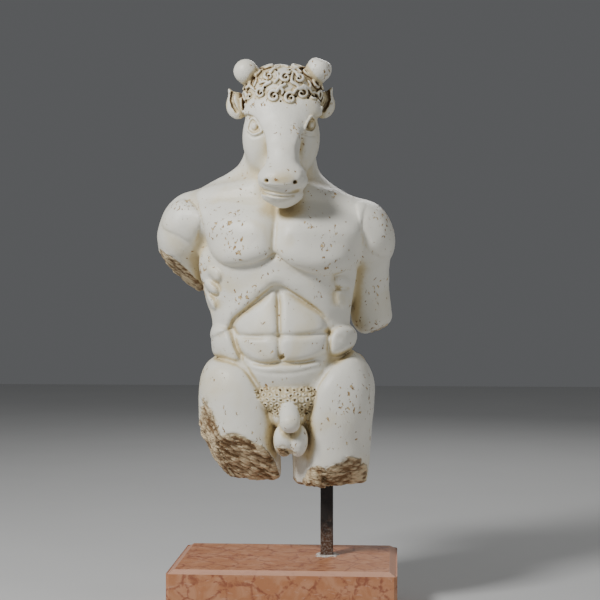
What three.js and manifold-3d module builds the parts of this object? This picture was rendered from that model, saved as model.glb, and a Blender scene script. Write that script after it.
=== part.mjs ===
// Marble torso of a minotaur, carried on a square iron bar that is mortared into a block of red-brown
// marble. Millimetres, +Z up. A viewer in front of it looks along +Y. The origin is the centre of the
// plinth's underside.

import * as THREE from "three";
import { mergeVertices } from "three/addons/utils/BufferGeometryUtils.js";
import Module from "manifold-3d";

// Driving dimensions
const FIGURE_HEIGHT = 850; // from the lower broken thigh to the top of the horn stubs
const PLINTH_WIDTH = 440;
const PLINTH_DEPTH = 300;
const PLINTH_HEIGHT = 110;
const PLINTH_CHAMFER = 9; // along the top edges
const PLINTH_EDGE_CUT = 6; // down the upright edges
const BAR_SIDE = 25;
const BAR_CORNER = 2;
const BAR_EXPOSED = 138; // the length that shows between the plinth and the thigh
const BAR_IN_PLINTH = 70;
const BAR_IN_THIGH = 120;
const BAR_RIGHT_OF_CENTRE = 79;
const BAR_BEHIND_CENTRE = 24;
const SOCKET_CLEARANCE = 0.4;
const MORTAR_REACH = 13; // how far the mortar spreads from the bar
const MORTAR_THICKNESS = 3;

// The figure is carved in parts of its height: 850 parts from its lower broken thigh to its horn stubs.
// Its own origin is under the trunk's mid-plane, level with that break. x is to the viewer's right, y to
// the back, z up.
const FIGURE_PARTS = 850;
const BAR_ENTRY = { x: 92, y: 0 };
const LATTICE_CELL = 7.5; // the grain of the carving on the trunk, in parts
const HEAD_GRAIN = { x: 0.45, y: 0.72, z: 0.45 }; // the grain of the head, as shares of that
const STATUE_TRIANGLES = 9200;

const wasm = await Module();
wasm.setup();

// Masses are signed distances, in parts, each with a sphere that holds it

/** A rounded mass with three radii. turn is in degrees about X, Y and Z. */
function ellipsoid([cx, cy, cz], [rx, ry, rz], turn = [0, 0, 0]) {
  const euler = new THREE.Euler(...turn.map(THREE.MathUtils.degToRad), "XYZ");
  const [a, b, c, , d, e, f, , g, h, i] = new THREE.Matrix4().makeRotationFromEuler(euler).elements;
  const distance = (x, y, z) => {
    const dx = x - cx;
    const dy = y - cy;
    const dz = z - cz;
    const u = (a * dx + b * dy + c * dz) / rx;
    const v = (d * dx + e * dy + f * dz) / ry;
    const w = (g * dx + h * dy + i * dz) / rz;
    const near = Math.sqrt(u * u + v * v + w * w);
    const slope = Math.sqrt((u / rx) ** 2 + (v / ry) ** 2 + (w / rz) ** 2);
    return slope < 1e-9 ? -Math.min(rx, ry, rz) : (near * (near - 1)) / slope;
  };
  return { distance, centre: [cx, cy, cz], reach: 1.2 * Math.max(rx, ry, rz) };
}

/** A round limb between two points, tapering from radius ra to rb. */
function limb([ax, ay, az], [bx, by, bz], ra, rb = ra) {
  const lx = bx - ax;
  const ly = by - ay;
  const lz = bz - az;
  const length2 = lx * lx + ly * ly + lz * lz;
  const distance = (x, y, z) => {
    const along = ((x - ax) * lx + (y - ay) * ly + (z - az) * lz) / length2;
    const t = Math.min(1, Math.max(0, along));
    const dx = x - ax - lx * t;
    const dy = y - ay - ly * t;
    const dz = z - az - lz * t;
    return Math.sqrt(dx * dx + dy * dy + dz * dz) - ra - (rb - ra) * t;
  };
  const centre = [(ax + bx) / 2, (ay + by) / 2, (az + bz) / 2];
  return { distance, centre, reach: Math.sqrt(length2) / 2 + Math.max(ra, rb) };
}

/** A ring of the given radius and thickness, lying in the plane that faces along facing. */
function ring([cx, cy, cz], radius, thickness, facing) {
  const n = new THREE.Vector3(...facing).normalize();
  const distance = (x, y, z) => {
    const dx = x - cx;
    const dy = y - cy;
    const dz = z - cz;
    const height = dx * n.x + dy * n.y + dz * n.z;
    const out = Math.sqrt(Math.max(0, dx * dx + dy * dy + dz * dz - height * height)) - radius;
    return Math.sqrt(out * out + height * height) - thickness;
  };
  return { distance, centre: [cx, cy, cz], reach: radius + thickness };
}

/** A mass broken off along a plane: what lies beyond point, on the side that facing points to, is gone. */
function broken(mass, [px, py, pz], facing, rounding = 8) {
  const n = new THREE.Vector3(...facing).normalize();
  const distance = (x, y, z) => {
    const beyond = (x - px) * n.x + (y - py) * n.y + (z - pz) * n.z;
    return -smoothMin(-mass.distance(x, y, z), -beyond, rounding);
  };
  return { distance, centre: mass.centre, reach: mass.reach };
}

/** All that lies on the far side of a plane through point, within reach of it. */
function beyond([px, py, pz], facing, reach) {
  const n = new THREE.Vector3(...facing).normalize();
  const distance = (x, y, z) => {
    const dx = x - px;
    const dy = y - py;
    const dz = z - pz;
    return Math.max(-(dx * n.x + dy * n.y + dz * n.z), Math.sqrt(dx * dx + dy * dy + dz * dz) - reach);
  };
  return { distance, centre: [px, py, pz], reach };
}

/** The lesser of two distances, with a fillet of about the given width where they meet. */
function smoothMin(a, b, width) {
  const h = Math.max(width - Math.abs(a - b), 0) / width;
  return Math.min(a, b) - (h * h * width) / 4;
}

// Pads and grooves follow lines in the front view, x and z each

/** A smooth line through points. A closed one runs back to its start. */
function curve(points, closed = false) {
  const path = new THREE.CatmullRomCurve3(
    points.map(([x, z]) => new THREE.Vector3(x, 0, z)),
    closed,
    "catmullrom",
  );
  return path.getPoints(5 * points.length).map(({ x, z }) => [x, z]);
}

/** How far x and z are from a line. */
function awayFrom(line, x, z) {
  let nearest = Infinity;
  for (let n = 1; n < line.length; n++) {
    const [ax, az] = line[n - 1];
    const dx = line[n][0] - ax;
    const dz = line[n][1] - az;
    const along = ((x - ax) * dx + (z - az) * dz) / Math.max(dx * dx + dz * dz, 1e-9);
    const t = Math.min(1, Math.max(0, along));
    nearest = Math.min(nearest, (x - ax - t * dx) ** 2 + (z - az - t * dz) ** 2);
  }
  return Math.sqrt(nearest);
}

/** Whether a closed line goes round x and z. */
function isInside(line, x, z) {
  let within = false;
  for (let n = 1; n < line.length; n++) {
    const [ax, az] = line[n - 1];
    const [bx, bz] = line[n];
    if (az > z !== bz > z && x < ax + ((z - az) * (bx - ax)) / (bz - az)) within = !within;
  }
  return within;
}

/** Heights near a line, kept on a fine grid, smoothed over the given width and read between its points. */
function reliefNear(line, margin, width, height) {
  const spacing = 2.5;
  const low = [0, 1].map((i) => Math.min(...line.map((p) => p[i])) - margin);
  const high = [0, 1].map((i) => Math.max(...line.map((p) => p[i])) + margin);
  const [columns, rows] = [0, 1].map((i) => Math.ceil((high[i] - low[i]) / spacing) + 2);
  let grid = new Float32Array(columns * rows);
  for (let r = 0; r < rows; r++) {
    for (let c = 0; c < columns; c++) {
      grid[r * columns + c] = height(low[0] + c * spacing, low[1] + r * spacing);
    }
  }
  const span = Math.ceil((1.5 * width) / spacing);
  for (const [stride, count, across, lines] of [[1, columns, columns, rows], [columns, rows, 1, columns]]) {
    if (!span) continue;
    const next = new Float32Array(grid.length);
    for (let l = 0; l < lines; l++) {
      for (let n = 0; n < count; n++) {
        let total = 0;
        let weights = 0;
        for (let m = Math.max(0, n - span); m <= Math.min(count - 1, n + span); m++) {
          const weight = Math.exp(-(((2 * (m - n) * spacing) / width) ** 2));
          total += weight * grid[l * across + m * stride];
          weights += weight;
        }
        next[l * across + n * stride] = total / weights;
      }
    }
    grid = next;
  }
  return (x, z) => {
    const c = (x - low[0]) / spacing;
    const r = (z - low[1]) / spacing;
    const i = Math.floor(c);
    const j = Math.floor(r);
    if (i < 0 || j < 0 || i > columns - 2 || j > rows - 2) return 0;
    const at = j * columns + i;
    const under = grid[at] + (grid[at + 1] - grid[at]) * (c - i);
    const over = grid[at + columns] + (grid[at + columns + 1] - grid[at + columns]) * (c - i);
    return under + (over - under) * (r - j);
  };
}

/** A work in clay: masses are added and carved away in order, each with its own fillet. */
class Clay {
  steps = [];

  add(fillet, ...masses) {
    for (const mass of masses) this.steps.push({ ...mass, fillet, sign: 1 });
  }

  carve(fillet, ...masses) {
    for (const mass of masses) this.steps.push({ ...mass, fillet, sign: -1 });
  }

  /** Raises a pad on the front, with a rounded edge or soft all over. It fades out between two levels. */
  pad(height, edge, outline, { back = 20, fade = [2e3, 3e3], soft = false } = {}) {
    const line = curve(outline, true);
    const share = reliefNear(line, 1.6 * edge, edge, (x, z) => (isInside(line, x, z) ? 1 : 0));
    const lift = (x, z) => {
      const s = share(x, z);
      const rise = soft ? smoothstep(s, 0.3, 1) : Math.sqrt(Math.min(1, Math.max(0, 2 * s - 1)));
      return rise && height * rise * (1 - smoothstep(z, ...fade));
    };
    this.steps.push({ lift, back });
  }

  /** Cuts a groove into the front, or raises a ridge where its depth is below nought. */
  groove(depth, width, path, back = 20) {
    const line = curve(path);
    const cut = (x, z) => -depth * Math.exp(-((awayFrom(line, x, z) / width) ** 2));
    this.steps.push({ lift: reliefNear(line, 3 * width, 0, cut), back });
  }

  distance(x, y, z) {
    let d = 1e3;
    for (const { distance, centre, reach, fillet, sign, lift, back } of this.steps) {
      if (lift) {
        if (Math.abs(d) < 40 && y < back) d -= lift(x, z) * (1 - smoothstep(y, back - 30, back));
        continue;
      }
      const dx = x - centre[0];
      const dy = y - centre[1];
      const dz = z - centre[2];
      const span = reach + fillet + (sign > 0 ? Math.max(0, d) : Math.max(0, -d));
      if (dx * dx + dy * dy + dz * dz > span * span) continue;
      const own = distance(x, y, z);
      d = sign > 0 ? smoothMin(d, own, fillet) : -smoothMin(-d, own, fillet);
    }
    return d;
  }

  /** The place on the front of the clay at x and z, or a little in front of it. */
  skin(x, z, out = 0) {
    let y = -170;
    while (y < 150 && this.distance(x, y, z) > 0) y += 2;
    const before = this.distance(x, y - 2, z);
    const share = before / (before - this.distance(x, y, z));
    return [x, y - 2 + 2 * share - out, z];
  }

  /** Lays a cord along the front, with its middle a little in front of it. */
  cord(fillet, thick, path, out = 0) {
    const places = curve(path).map(([x, z]) => this.skin(x, z, out));
    for (let n = 2; n < places.length; n += 2) {
      this.add(fillet, limb(places[n - 2], places[n], thick));
    }
  }
}

const smoothstep = THREE.MathUtils.smoothstep;

/** Ribcage, shoulder girdle, waist, pelvis and neck. The chest turns a little to the viewer's left. */
function carveTrunk(clay) {
  clay.add(
    36,
    ellipsoid([-8, 16, 462], [150, 98, 136], [0, 4, -5]),
    ellipsoid([-14, 28, 562], [154, 74, 56], [0, 3, -5]),
    ellipsoid([0, 14, 330], [130, 84, 124]),
    ellipsoid([8, 24, 218], [134, 88, 74]),
  );
  // Broad muscles of the back, which show as the trunk's outline under the arms
  clay.add(
    30,
    ellipsoid([-112, 52, 444], [50, 60, 116], [0, 6, 0]),
    ellipsoid([94, 44, 436], [50, 60, 110], [0, -6, 0]),
  );
  // Neck, the slopes of the shoulders and the collar bones
  clay.add(30, limb([-6, 36, 620], [-2, 24, 716], 76, 68));
  clay.add(34, limb([-50, 42, 626], [-178, 40, 552], 32, 32), limb([34, 42, 614], [142, 30, 538], 28, 28));
  clay.add(
    30,
    limb([-50, -26, 592], [-150, -6, 578], 15, 18),
    limb([34, -30, 584], [132, -10, 560], 15, 18),
  );
}

/** Shoulder blades, the long muscles beside the spine, the furrow between them, and the seat. */
function carveBack(clay) {
  clay.add(
    34,
    ellipsoid([-88, 92, 528], [62, 28, 66], [0, 18, 0]),
    ellipsoid([74, 88, 520], [60, 28, 66], [0, -18, 0]),
  );
  clay.add(26, limb([-30, 76, 290], [-34, 88, 470], 28, 26), limb([38, 76, 290], [22, 86, 470], 28, 26));
  clay.add(
    30,
    ellipsoid([-58, 72, 196], [76, 62, 76], [0, 10, 0]),
    ellipsoid([80, 70, 202], [78, 62, 76], [0, -10, 0]),
  );
  clay.carve(20, limb([4, 122, 280], [-6, 128, 570], 12, 10));
  clay.carve(12, limb([12, 154, 130], [9, 130, 262], 12, 4));
}

/** The lowest ribs end in an arch over the belly. Fingers of muscle lie on their sides. */
function carveRibs(clay) {
  const left = [[0, 405], [-16, 399], [-35, 382], [-64, 357], [-91, 336], [-104, 314], [-160, 300]];
  const right = [[160, 300], [103, 310], [95, 330], [83, 348], [57, 370], [25, 393]];
  const plate = [...left, [-190, 400], [-190, 640], [190, 640], [190, 400], ...right];
  clay.pad(12, 18, plate, { fade: [440, 520], soft: true });
  clay.groove(-3, 14, [[-104, 340], [-66, 376], [-34, 402], [0, 420], [32, 408], [66, 384], [100, 352]]);
  const fingers = [
    [[-150, 446], [-125, 442], [-109, 429], [-125, 413], [-146, 420]],
    [[-153, 419], [-132, 413], [-112, 403], [-125, 387], [-147, 392]],
    [[-153, 390], [-132, 386], [-112, 377], [-125, 361], [-148, 366]],
    [[-148, 364], [-125, 358], [-109, 348], [-119, 328], [-138, 336]],
    [[105, 423], [126, 434], [145, 431], [140, 413], [116, 410]],
    [[109, 405], [129, 412], [145, 408], [140, 387], [116, 387]],
    [[116, 382], [133, 384], [144, 376], [138, 358], [120, 364]],
  ];
  for (const outline of fingers) clay.pad(11, 14, outline, { back: 50, soft: true });
}

/** Swellings with grooves between them: a pair under the arch, a pair at the navel and one below. */
function carveBelly(clay) {
  clay.add(12, ellipsoid([5, -10, 286], [108, 82, 128]));
  const swellings = [
    [[-2, 396], [-35, 372], [-64, 352], [-84, 333], [-88, 316], [-72, 304], [-35, 302], [1, 304], [0, 349]],
    [[5, 396], [38, 375], [67, 358], [94, 338], [98, 318], [83, 307], [45, 304], [7, 304], [6, 349]],
    [[-84, 303], [-38, 304], [1, 304], [2, 257], [-19, 252], [-50, 256], [-74, 274]],
    [[7, 304], [51, 306], [98, 312], [102, 292], [90, 267], [54, 256], [20, 255], [6, 262]],
  ];
  for (const outline of swellings) clay.pad(9, 24, outline, { soft: true });
  const grooves = [
    [[-2, 392], [1, 350], [3, 310], [4, 270]],
    [[-90, 318], [-78, 305], [-38, 304], [3, 306], [48, 306], [96, 312]],
    [[-72, 268], [-50, 256], [-20, 251], [5, 254], [30, 254], [56, 256], [88, 268]],
    [[-96, 308], [-90, 296], [-77, 266], [-64, 242], [-45, 215], [-36, 202]],
    [[99, 308], [100, 290], [98, 262], [92, 238], [78, 212], [72, 200]],
  ];
  for (const path of grooves) clay.groove(4, 6, path);
  const lower = [[-64, 250], [-32, 247], [3, 250], [45, 250], [86, 256], [94, 234], [78, 212], [71, 196]];
  clay.pad(8, 20, [...lower, [19, 185], [-35, 190], [-50, 222]], { soft: true });
  clay.carve(4, ellipsoid([9, -94, 264], [6, 14, 6]));
  // Flank muscles that overhang the hips
  clay.add(
    16,
    ellipsoid([-100, 8, 290], [30, 56, 32], [0, 14, 8]),
    ellipsoid([108, 6, 292], [32, 56, 32], [0, -24, -8]),
  );
  const left = [[-142, 318], [-107, 321], [-95, 312], [-89, 295], [-78, 270], [-72, 254], [-90, 252]];
  clay.pad(12, 30, [...left, [-112, 257], [-145, 258]], { back: 50 });
  const right = [[101, 318], [118, 324], [165, 324], [165, 284], [127, 266], [103, 258], [98, 279]];
  clay.pad(12, 30, right, { back: 50 });
}

/** The chest muscles are broad plates that run out to the arms and have full lower edges. */
function carveChest(clay) {
  clay.add(
    24,
    limb([-40, -40, 522], [-140, -12, 535], 36, 34),
    limb([36, -42, 514], [142, -18, 520], 36, 34),
  );
  const left = [[-12, 464], [-22, 455], [-51, 446], [-83, 442], [-112, 446], [-131, 461], [-142, 483]];
  const right = [[158, 451], [135, 434], [108, 425], [76, 425], [38, 437], [11, 453], [0, 466]];
  const both = [...left, [-150, 520], [-150, 640], [150, 640], [163, 520], [167, 480], ...right];
  clay.pad(11, 22, both, { back: 60, fade: [500, 600] });
  const swellings = [
    [[-6, 520], [-7, 490], ...left, [-146, 530], [-110, 570], [-50, 575]],
    [[163, 520], [167, 480], ...right, [-2, 490], [-2, 520], [30, 565], [90, 565], [145, 540]],
  ];
  for (const outline of swellings) clay.pad(17, 56, outline, { back: 60, fade: [500, 590], soft: true });
  clay.groove(4, 6, [[-8, 460], [-7, 490], [-5, 525], [-6, 560]]);
}

/** The thighs come forward below the groin. Both are broken off, the viewer's left one on a slope. */
function carveLegs(clay) {
  const left = [[-165, 262], [-112, 253], [-88, 250], [-62, 232], [-44, 205], [-32, 185], [-14, 150]];
  clay.add(10, limb([-70, 10, 200], [-80, -26, 50], 82, 76));
  clay.add(24, ellipsoid([-86, -34, 180], [56, 46, 76], [0, -12, 0]));
  clay.pad(12, 30, [...left, [-6, 100], [-6, -60], [-240, -60], [-230, 200]], { back: 60 });
  clay.carve(14, beyond([-60, -112, 112], [-0.2, -0.72, -0.66], 240));
  clay.carve(14, beyond([-152, -30, 163], [-0.82, -0.48, -0.27], 190));
  clay.carve(14, beyond([-150, -10, 85], [-0.8, -0.25, -0.55], 160));
  clay.carve(12, beyond([-80, -10, 14], [0, 0, -1], 115));
  const right = [[175, 290], [150, 282], [127, 262], [99, 236], [80, 208], [72, 186], [64, 150], [58, 100]];
  clay.add(10, limb([96, 10, 196], [94, -2, 34], 80, 70));
  clay.add(24, ellipsoid([108, -28, 166], [54, 46, 76], [0, 8, 0]));
  clay.pad(12, 30, [...right, [56, 40], [56, -60], [240, -60], [240, 220]], { back: 60 });
  clay.carve(12, beyond([102, -4, 5], [0, 0, -1], 115));
  clay.carve(12, beyond([150, -58, 54], [0.5, -0.62, -0.6], 70));
}

/** The patch of short curls and the genitals. */
function carveGroin(clay) {
  clay.add(8, ellipsoid([15, -58, 182], [58, 34, 30]), ellipsoid([19, -58, 150], [36, 32, 32]));
  for (let row = 0; row < 3; row++) {
    const count = 7 - row;
    for (let n = 0; n < count; n++) {
      const x = 15 + (15 - row) * (n - (count - 1) / 2);
      clay.add(2, ellipsoid([x, -86 + 0.006 * (x - 15) ** 2, 190 - 15 * row], [8, 8, 8]));
    }
  }
  clay.add(
    4,
    ellipsoid([12, -82, 101], [21, 26, 32], [0, -3, 0]),
    ellipsoid([40, -82, 101], [19, 25, 32], [0, 3, 0]),
  );
  clay.add(6, limb([22, -84, 166], [26, -110, 138], 19, 20));
}

/** Both arms go down and back. One is broken off above the elbow, the other at it. */
function carveArms(clay) {
  clay.add(18, ellipsoid([-194, 32, 520], [56, 60, 74], [0, 18, 0]));
  const left = limb([-204, 48, 500], [-210, 84, 410], 53, 47);
  clay.add(10, broken(left, [-216, 84, 424], [-0.6, -0.25, -0.76], 12));
  clay.add(18, ellipsoid([168, 18, 508], [56, 60, 68], [0, -16, 0]));
  clay.add(14, limb([174, 36, 490], [172, 72, 420], 48, 42));
  const right = limb([172, 74, 410], [180, 88, 340], 42, 42);
  clay.add(10, broken(right, [180, 80, 300], [0.4, -0.1, -0.9], 24));
  // The muscles that cap the shoulders
  const caps = [
    [[-245, 518], [-228, 556], [-200, 580], [-174, 566], [-155, 538], [-165, 502], [-172, 477], [-202, 504]],
    [[150, 570], [186, 566], [218, 532], [230, 490], [220, 450], [190, 464], [170, 474], [164, 508]],
  ];
  for (const outline of caps) clay.pad(8, 34, outline, { back: 80 });
}

/** The bull's head: skull, cheeks, jaw, nose, eyes, nostrils and mouth. */
function carveHead(clay) {
  clay.add(24, limb([0, 6, 764], [2, -18, 706], 70, 67));
  clay.add(
    16,
    ellipsoid([-36, -24, 690], [37, 48, 60], [8, -4, -10]),
    ellipsoid([41, -24, 690], [37, 48, 60], [8, 4, 10]),
  );
  clay.add(14, limb([6, -34, 640], [13, -98, 580], 42, 26), ellipsoid([11, -110, 578], [41, 32, 19]));
  // The flat plate of the forehead and the nose, which narrows down to the muzzle
  clay.add(10, ellipsoid([8, -42, 746], [71, 34, 38]), ellipsoid([9, -58, 722], [47, 25, 46], [-12, 0, 0]));
  clay.add(8, ellipsoid([12, -86, 684], [33, 21, 70], [-24, 0, 0]));
  clay.add(10, limb([12, -98, 648], [14, -112, 612], 27, 33), ellipsoid([13, -120, 605], [48, 36, 28]));
  const left = [[-100, 752], [-80, 742], [-58, 738], [-44, 730], [-34, 714], [-25, 695], [-20, 677]];
  const right = [[45, 640], [41, 656], [40, 673], [44, 690], [54, 709], [65, 727], [80, 736], [110, 746]];
  const muzzle = [[-18, 660], [-21, 643], [-34, 626], [-30, 600], [14, 590], [46, 598], [56, 620]];
  clay.pad(6, 13, [...left, ...muzzle, ...right, [8, 800]], { back: -10 });
  carveEye(clay, [-48, 715], {
    upper: [[-61, 711], [-57, 725], [-49, 731], [-39, 721], [-32, 705]],
    lower: [[-61, 709], [-55, 702], [-46, 698], [-32, 703]],
  });
  carveEye(clay, [67, 717], {
    upper: [[77, 712], [74, 727], [67, 733], [59, 722], [52, 705]],
    lower: [[77, 710], [72, 703], [65, 700], [52, 703]],
  });
  for (const [x, z, side] of [[-20, 601, -1], [40, 599, 1]]) {
    const [, y] = clay.skin(x, z);
    clay.carve(3, limb([x, y - 6, z], [x - 6 * side, y + 14, z + 4], 5, 4));
  }
  clay.groove(3.5, 2.6, [[-33, 592], [-21, 584], [-4, 578], [22, 578], [39, 583], [50, 590]], -60);
}

/** An almond eye between two lids. */
function carveEye(clay, [x, z], { upper, lower }) {
  const [, y] = clay.skin(x, z);
  clay.carve(6, ellipsoid([x, y - 3, z], [14, 9, 12]));
  clay.add(1.5, ellipsoid([0.94 * x, y + 6, z], [11, 10, 11]));
  clay.cord(1.5, 3, upper, 1.5);
  clay.cord(1.5, 2.6, lower, 1);
}

/** The horn stubs: the viewer's left one worn round, the right one broken in facets. */
function carveHorns(clay) {
  clay.add(8, limb([-38, -8, 798], [-67, -36, 827], 20, 24));
  let stub = limb([46, -8, 798], [78, -34, 830], 20, 25);
  stub = broken(stub, [86, -44, 846], [0.35, -0.2, 0.9], 5);
  stub = broken(stub, [92, -58, 824], [0.7, -0.7, 0.1], 5);
  clay.add(8, broken(stub, [72, -58, 838], [-0.2, -0.9, 0.4], 5));
}

/** Pointed ears, rounded outside, with a channel inside. */
function carveEars(clay) {
  for (const [side, x] of [[-1, -88], [1, 85]]) {
    clay.add(5, ellipsoid([x, 2, 764], [23, 15, 27], [0, 6 * side, 0]));
    clay.add(5, limb([x + 6 * side, 0, 776], [x + 16 * side, -2, 795], 13, 3));
    const arc = [[10, 788], [11, 774], [6, 760], [-5, 749], [-14, 744]];
    const path = arc.map(([out, z]) => clay.skin(x + out * side, z, -3));
    for (let n = 1; n < path.length; n++) clay.carve(2, limb(path[n - 1], path[n], 5));
  }
}

/** A cap of hair, with curls over the brow and plainer curls round the sides and the back. */
function carveHair(clay) {
  const centre = [5, -8, 786];
  const radii = [78, 72, 58];
  clay.add(3, broken(ellipsoid(centre, radii), [0, -78, 764], [0, -0.35, -0.94], 6));
  const curls = [
    [-57, 774, 8], [-32, 779, 11], [-6, 772, 13], [26, 768, 13], [50, 779, 11], [68, 773, 9],
    [-18, 813, 12], [16, 810, 12], [41, 806, 10],
  ];
  const places = curls.map(([x, z, reach]) => [clay.skin(x, z, 2), reach]);
  for (const [place, reach] of places) {
    const facing = place.map((c, i) => (c - centre[i]) / radii[i] ** 2);
    clay.carve(2, ellipsoid(place, [6, 7, 6]));
    clay.add(2, ring(place, reach - 4, 4, facing));
  }
  for (let row = 0; row < 4; row++) {
    const tilt = THREE.MathUtils.degToRad(-6 + 22 * row);
    const count = Math.round(13 * Math.cos(tilt)) + 1;
    for (let n = 0; n < count; n++) {
      const turn = THREE.MathUtils.degToRad(28 + ((n + 0.5 * (row % 2)) * 304) / count);
      const flat = Math.cos(tilt);
      const across = [Math.sin(turn) * flat, -Math.cos(turn) * flat, Math.sin(tilt)];
      if (across[1] < -0.55) continue;
      const place = centre.map((c, i) => c + radii[i] * across[i]);
      clay.add(2, ring(place, 8, 3.6, across.map((a, i) => a / radii[i])));
    }
  }
}

function figure() {
  const clay = new Clay();
  carveTrunk(clay);
  carveBack(clay);
  carveRibs(clay);
  carveBelly(clay);
  carveChest(clay);
  carveLegs(clay);
  carveGroin(clay);
  carveArms(clay);
  carveHead(clay);
  carveHorns(clay);
  carveEars(clay);
  carveHair(clay);
  return clay;
}

// The surface of the clay, found on a lattice that grows finer towards the head

/** The lattice's columns and levels, as functions of their numbers. */
function lattice() {
  const body = { x: -12, y: 28, halfX: 278, halfY: 196, low: -12, high: FIGURE_PARTS + 20 };
  const head = { x: 0, y: -28 };
  const share = (z) => smoothstep(z, 600, 700);
  const levels = [];
  for (let z = body.low; z < body.high; ) {
    levels.push(z);
    z += LATTICE_CELL * (1 - (1 - HEAD_GRAIN.z) * smoothstep(z, 520, 580));
  }
  const columns = Math.ceil((2 * body.halfX) / LATTICE_CELL);
  const rows = Math.ceil((2 * body.halfY) / LATTICE_CELL);
  const at = (i, j, k) => {
    const z = levels[k];
    const s = share(z);
    const wide = LATTICE_CELL * (1 - (1 - HEAD_GRAIN.x) * s);
    const deep = LATTICE_CELL * (1 - (1 - HEAD_GRAIN.y) * s);
    const x = body.x + (head.x - body.x) * s + (i - columns / 2) * wide;
    const y = body.y + (head.y - body.y) * s + (j - rows / 2) * deep;
    return [x, y, z];
  };
  return { nx: columns + 1, ny: rows + 1, nz: levels.length, at };
}

// A cell's eight corners are numbered by their bits. Six tetrahedra round its long diagonal fill it.
const TETRAHEDRA = [
  [0, 1, 3, 7],
  [0, 5, 1, 7],
  [0, 3, 2, 7],
  [0, 2, 6, 7],
  [0, 4, 5, 7],
  [0, 6, 4, 7],
];
const EVEN_ORDERS = [
  [0, 1, 2, 3], [1, 0, 3, 2], [2, 3, 0, 1], [3, 2, 1, 0],
  [0, 2, 3, 1], [0, 3, 1, 2], [1, 2, 0, 3], [1, 3, 2, 0],
];

/** The closed surface where the clay's distance is nought, as points and triangles. */
function surfaceOf(clay) {
  const { nx, ny, nz, at } = lattice();
  const step = [0, 1, 2, 3, 4, 5, 6, 7].map((c) => (c & 1) + ((c >> 1) & 1) * nx + (c >> 2) * nx * ny);
  const place = new Float64Array(nx * ny * nz * 3);
  const value = new Float64Array(nx * ny * nz);
  for (let k = 0, n = 0; k < nz; k++) {
    for (let j = 0; j < ny; j++) {
      for (let i = 0; i < nx; i++, n++) {
        const p = at(i, j, k);
        place.set(p, 3 * n);
        value[n] = clay.distance(...p);
      }
    }
  }
  const points = [];
  const triangles = [];
  const found = new Int32Array(value.length * 8).fill(-1);
  const crossing = (n, a, b) => {
    const low = Math.min(a, b);
    const key = (n + step[low]) * 8 + Math.max(a, b) - low;
    if (found[key] < 0) {
      const p = n + step[a];
      const q = n + step[b];
      const t = Math.min(0.98, Math.max(0.02, value[p] / (value[p] - value[q])));
      found[key] = points.length / 3;
      for (let c = 0; c < 3; c++) points.push(place[3 * p + c] * (1 - t) + place[3 * q + c] * t);
    }
    return found[key];
  };
  const split = (n, corners) => {
    const inside = corners.map((c) => value[n + step[c]] < 0);
    const count = inside.filter(Boolean).length;
    if (count === 0 || count === 4) return;
    const alone = ([first, ...rest]) => rest.every((c) => inside[c] !== inside[first]);
    const fits = (o) => (count === 2 ? inside[o[0]] && inside[o[1]] : alone(o));
    const [a, b, c, d] = EVEN_ORDERS.find(fits).map((o) => corners[o]);
    if (count === 2) {
      const [ac, ad, bd, bc] = [crossing(n, a, c), crossing(n, a, d), crossing(n, b, d), crossing(n, b, c)];
      triangles.push(ac, ad, bd, ac, bd, bc);
    } else {
      const [ab, ac, ad] = [crossing(n, a, b), crossing(n, a, c), crossing(n, a, d)];
      triangles.push(ab, ...(count === 1 ? [ac, ad] : [ad, ac]));
    }
  };
  for (let k = 0; k < nz - 1; k++) {
    for (let j = 0; j < ny - 1; j++) {
      for (let i = 0; i < nx - 1; i++) {
        const n = i + nx * (j + ny * k);
        let inside = 0;
        for (const s of step) inside += value[n + s] < 0 ? 1 : 0;
        if (inside > 0 && inside < 8) for (const corners of TETRAHEDRA) split(n, corners);
      }
    }
  }
  return { points, triangles };
}

/** A heap that gives back its cheapest entry first. */
class Heap {
  entries = [];

  push(entry) {
    const e = this.entries;
    let n = e.length;
    e.push(entry);
    while (n > 0) {
      const up = (n - 1) >> 1;
      if (e[up].cost <= entry.cost) break;
      e[n] = e[up];
      n = up;
    }
    e[n] = entry;
  }

  pop() {
    const e = this.entries;
    const top = e[0];
    const last = e.pop();
    if (e.length === 0) return top;
    let n = 0;
    for (let down = 1; down < e.length; down = 2 * n + 1) {
      if (down + 1 < e.length && e[down + 1].cost < e[down].cost) down += 1;
      if (e[down].cost >= last.cost) break;
      e[n] = e[down];
      n = down;
    }
    e[n] = last;
    return top;
  }
}

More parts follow.
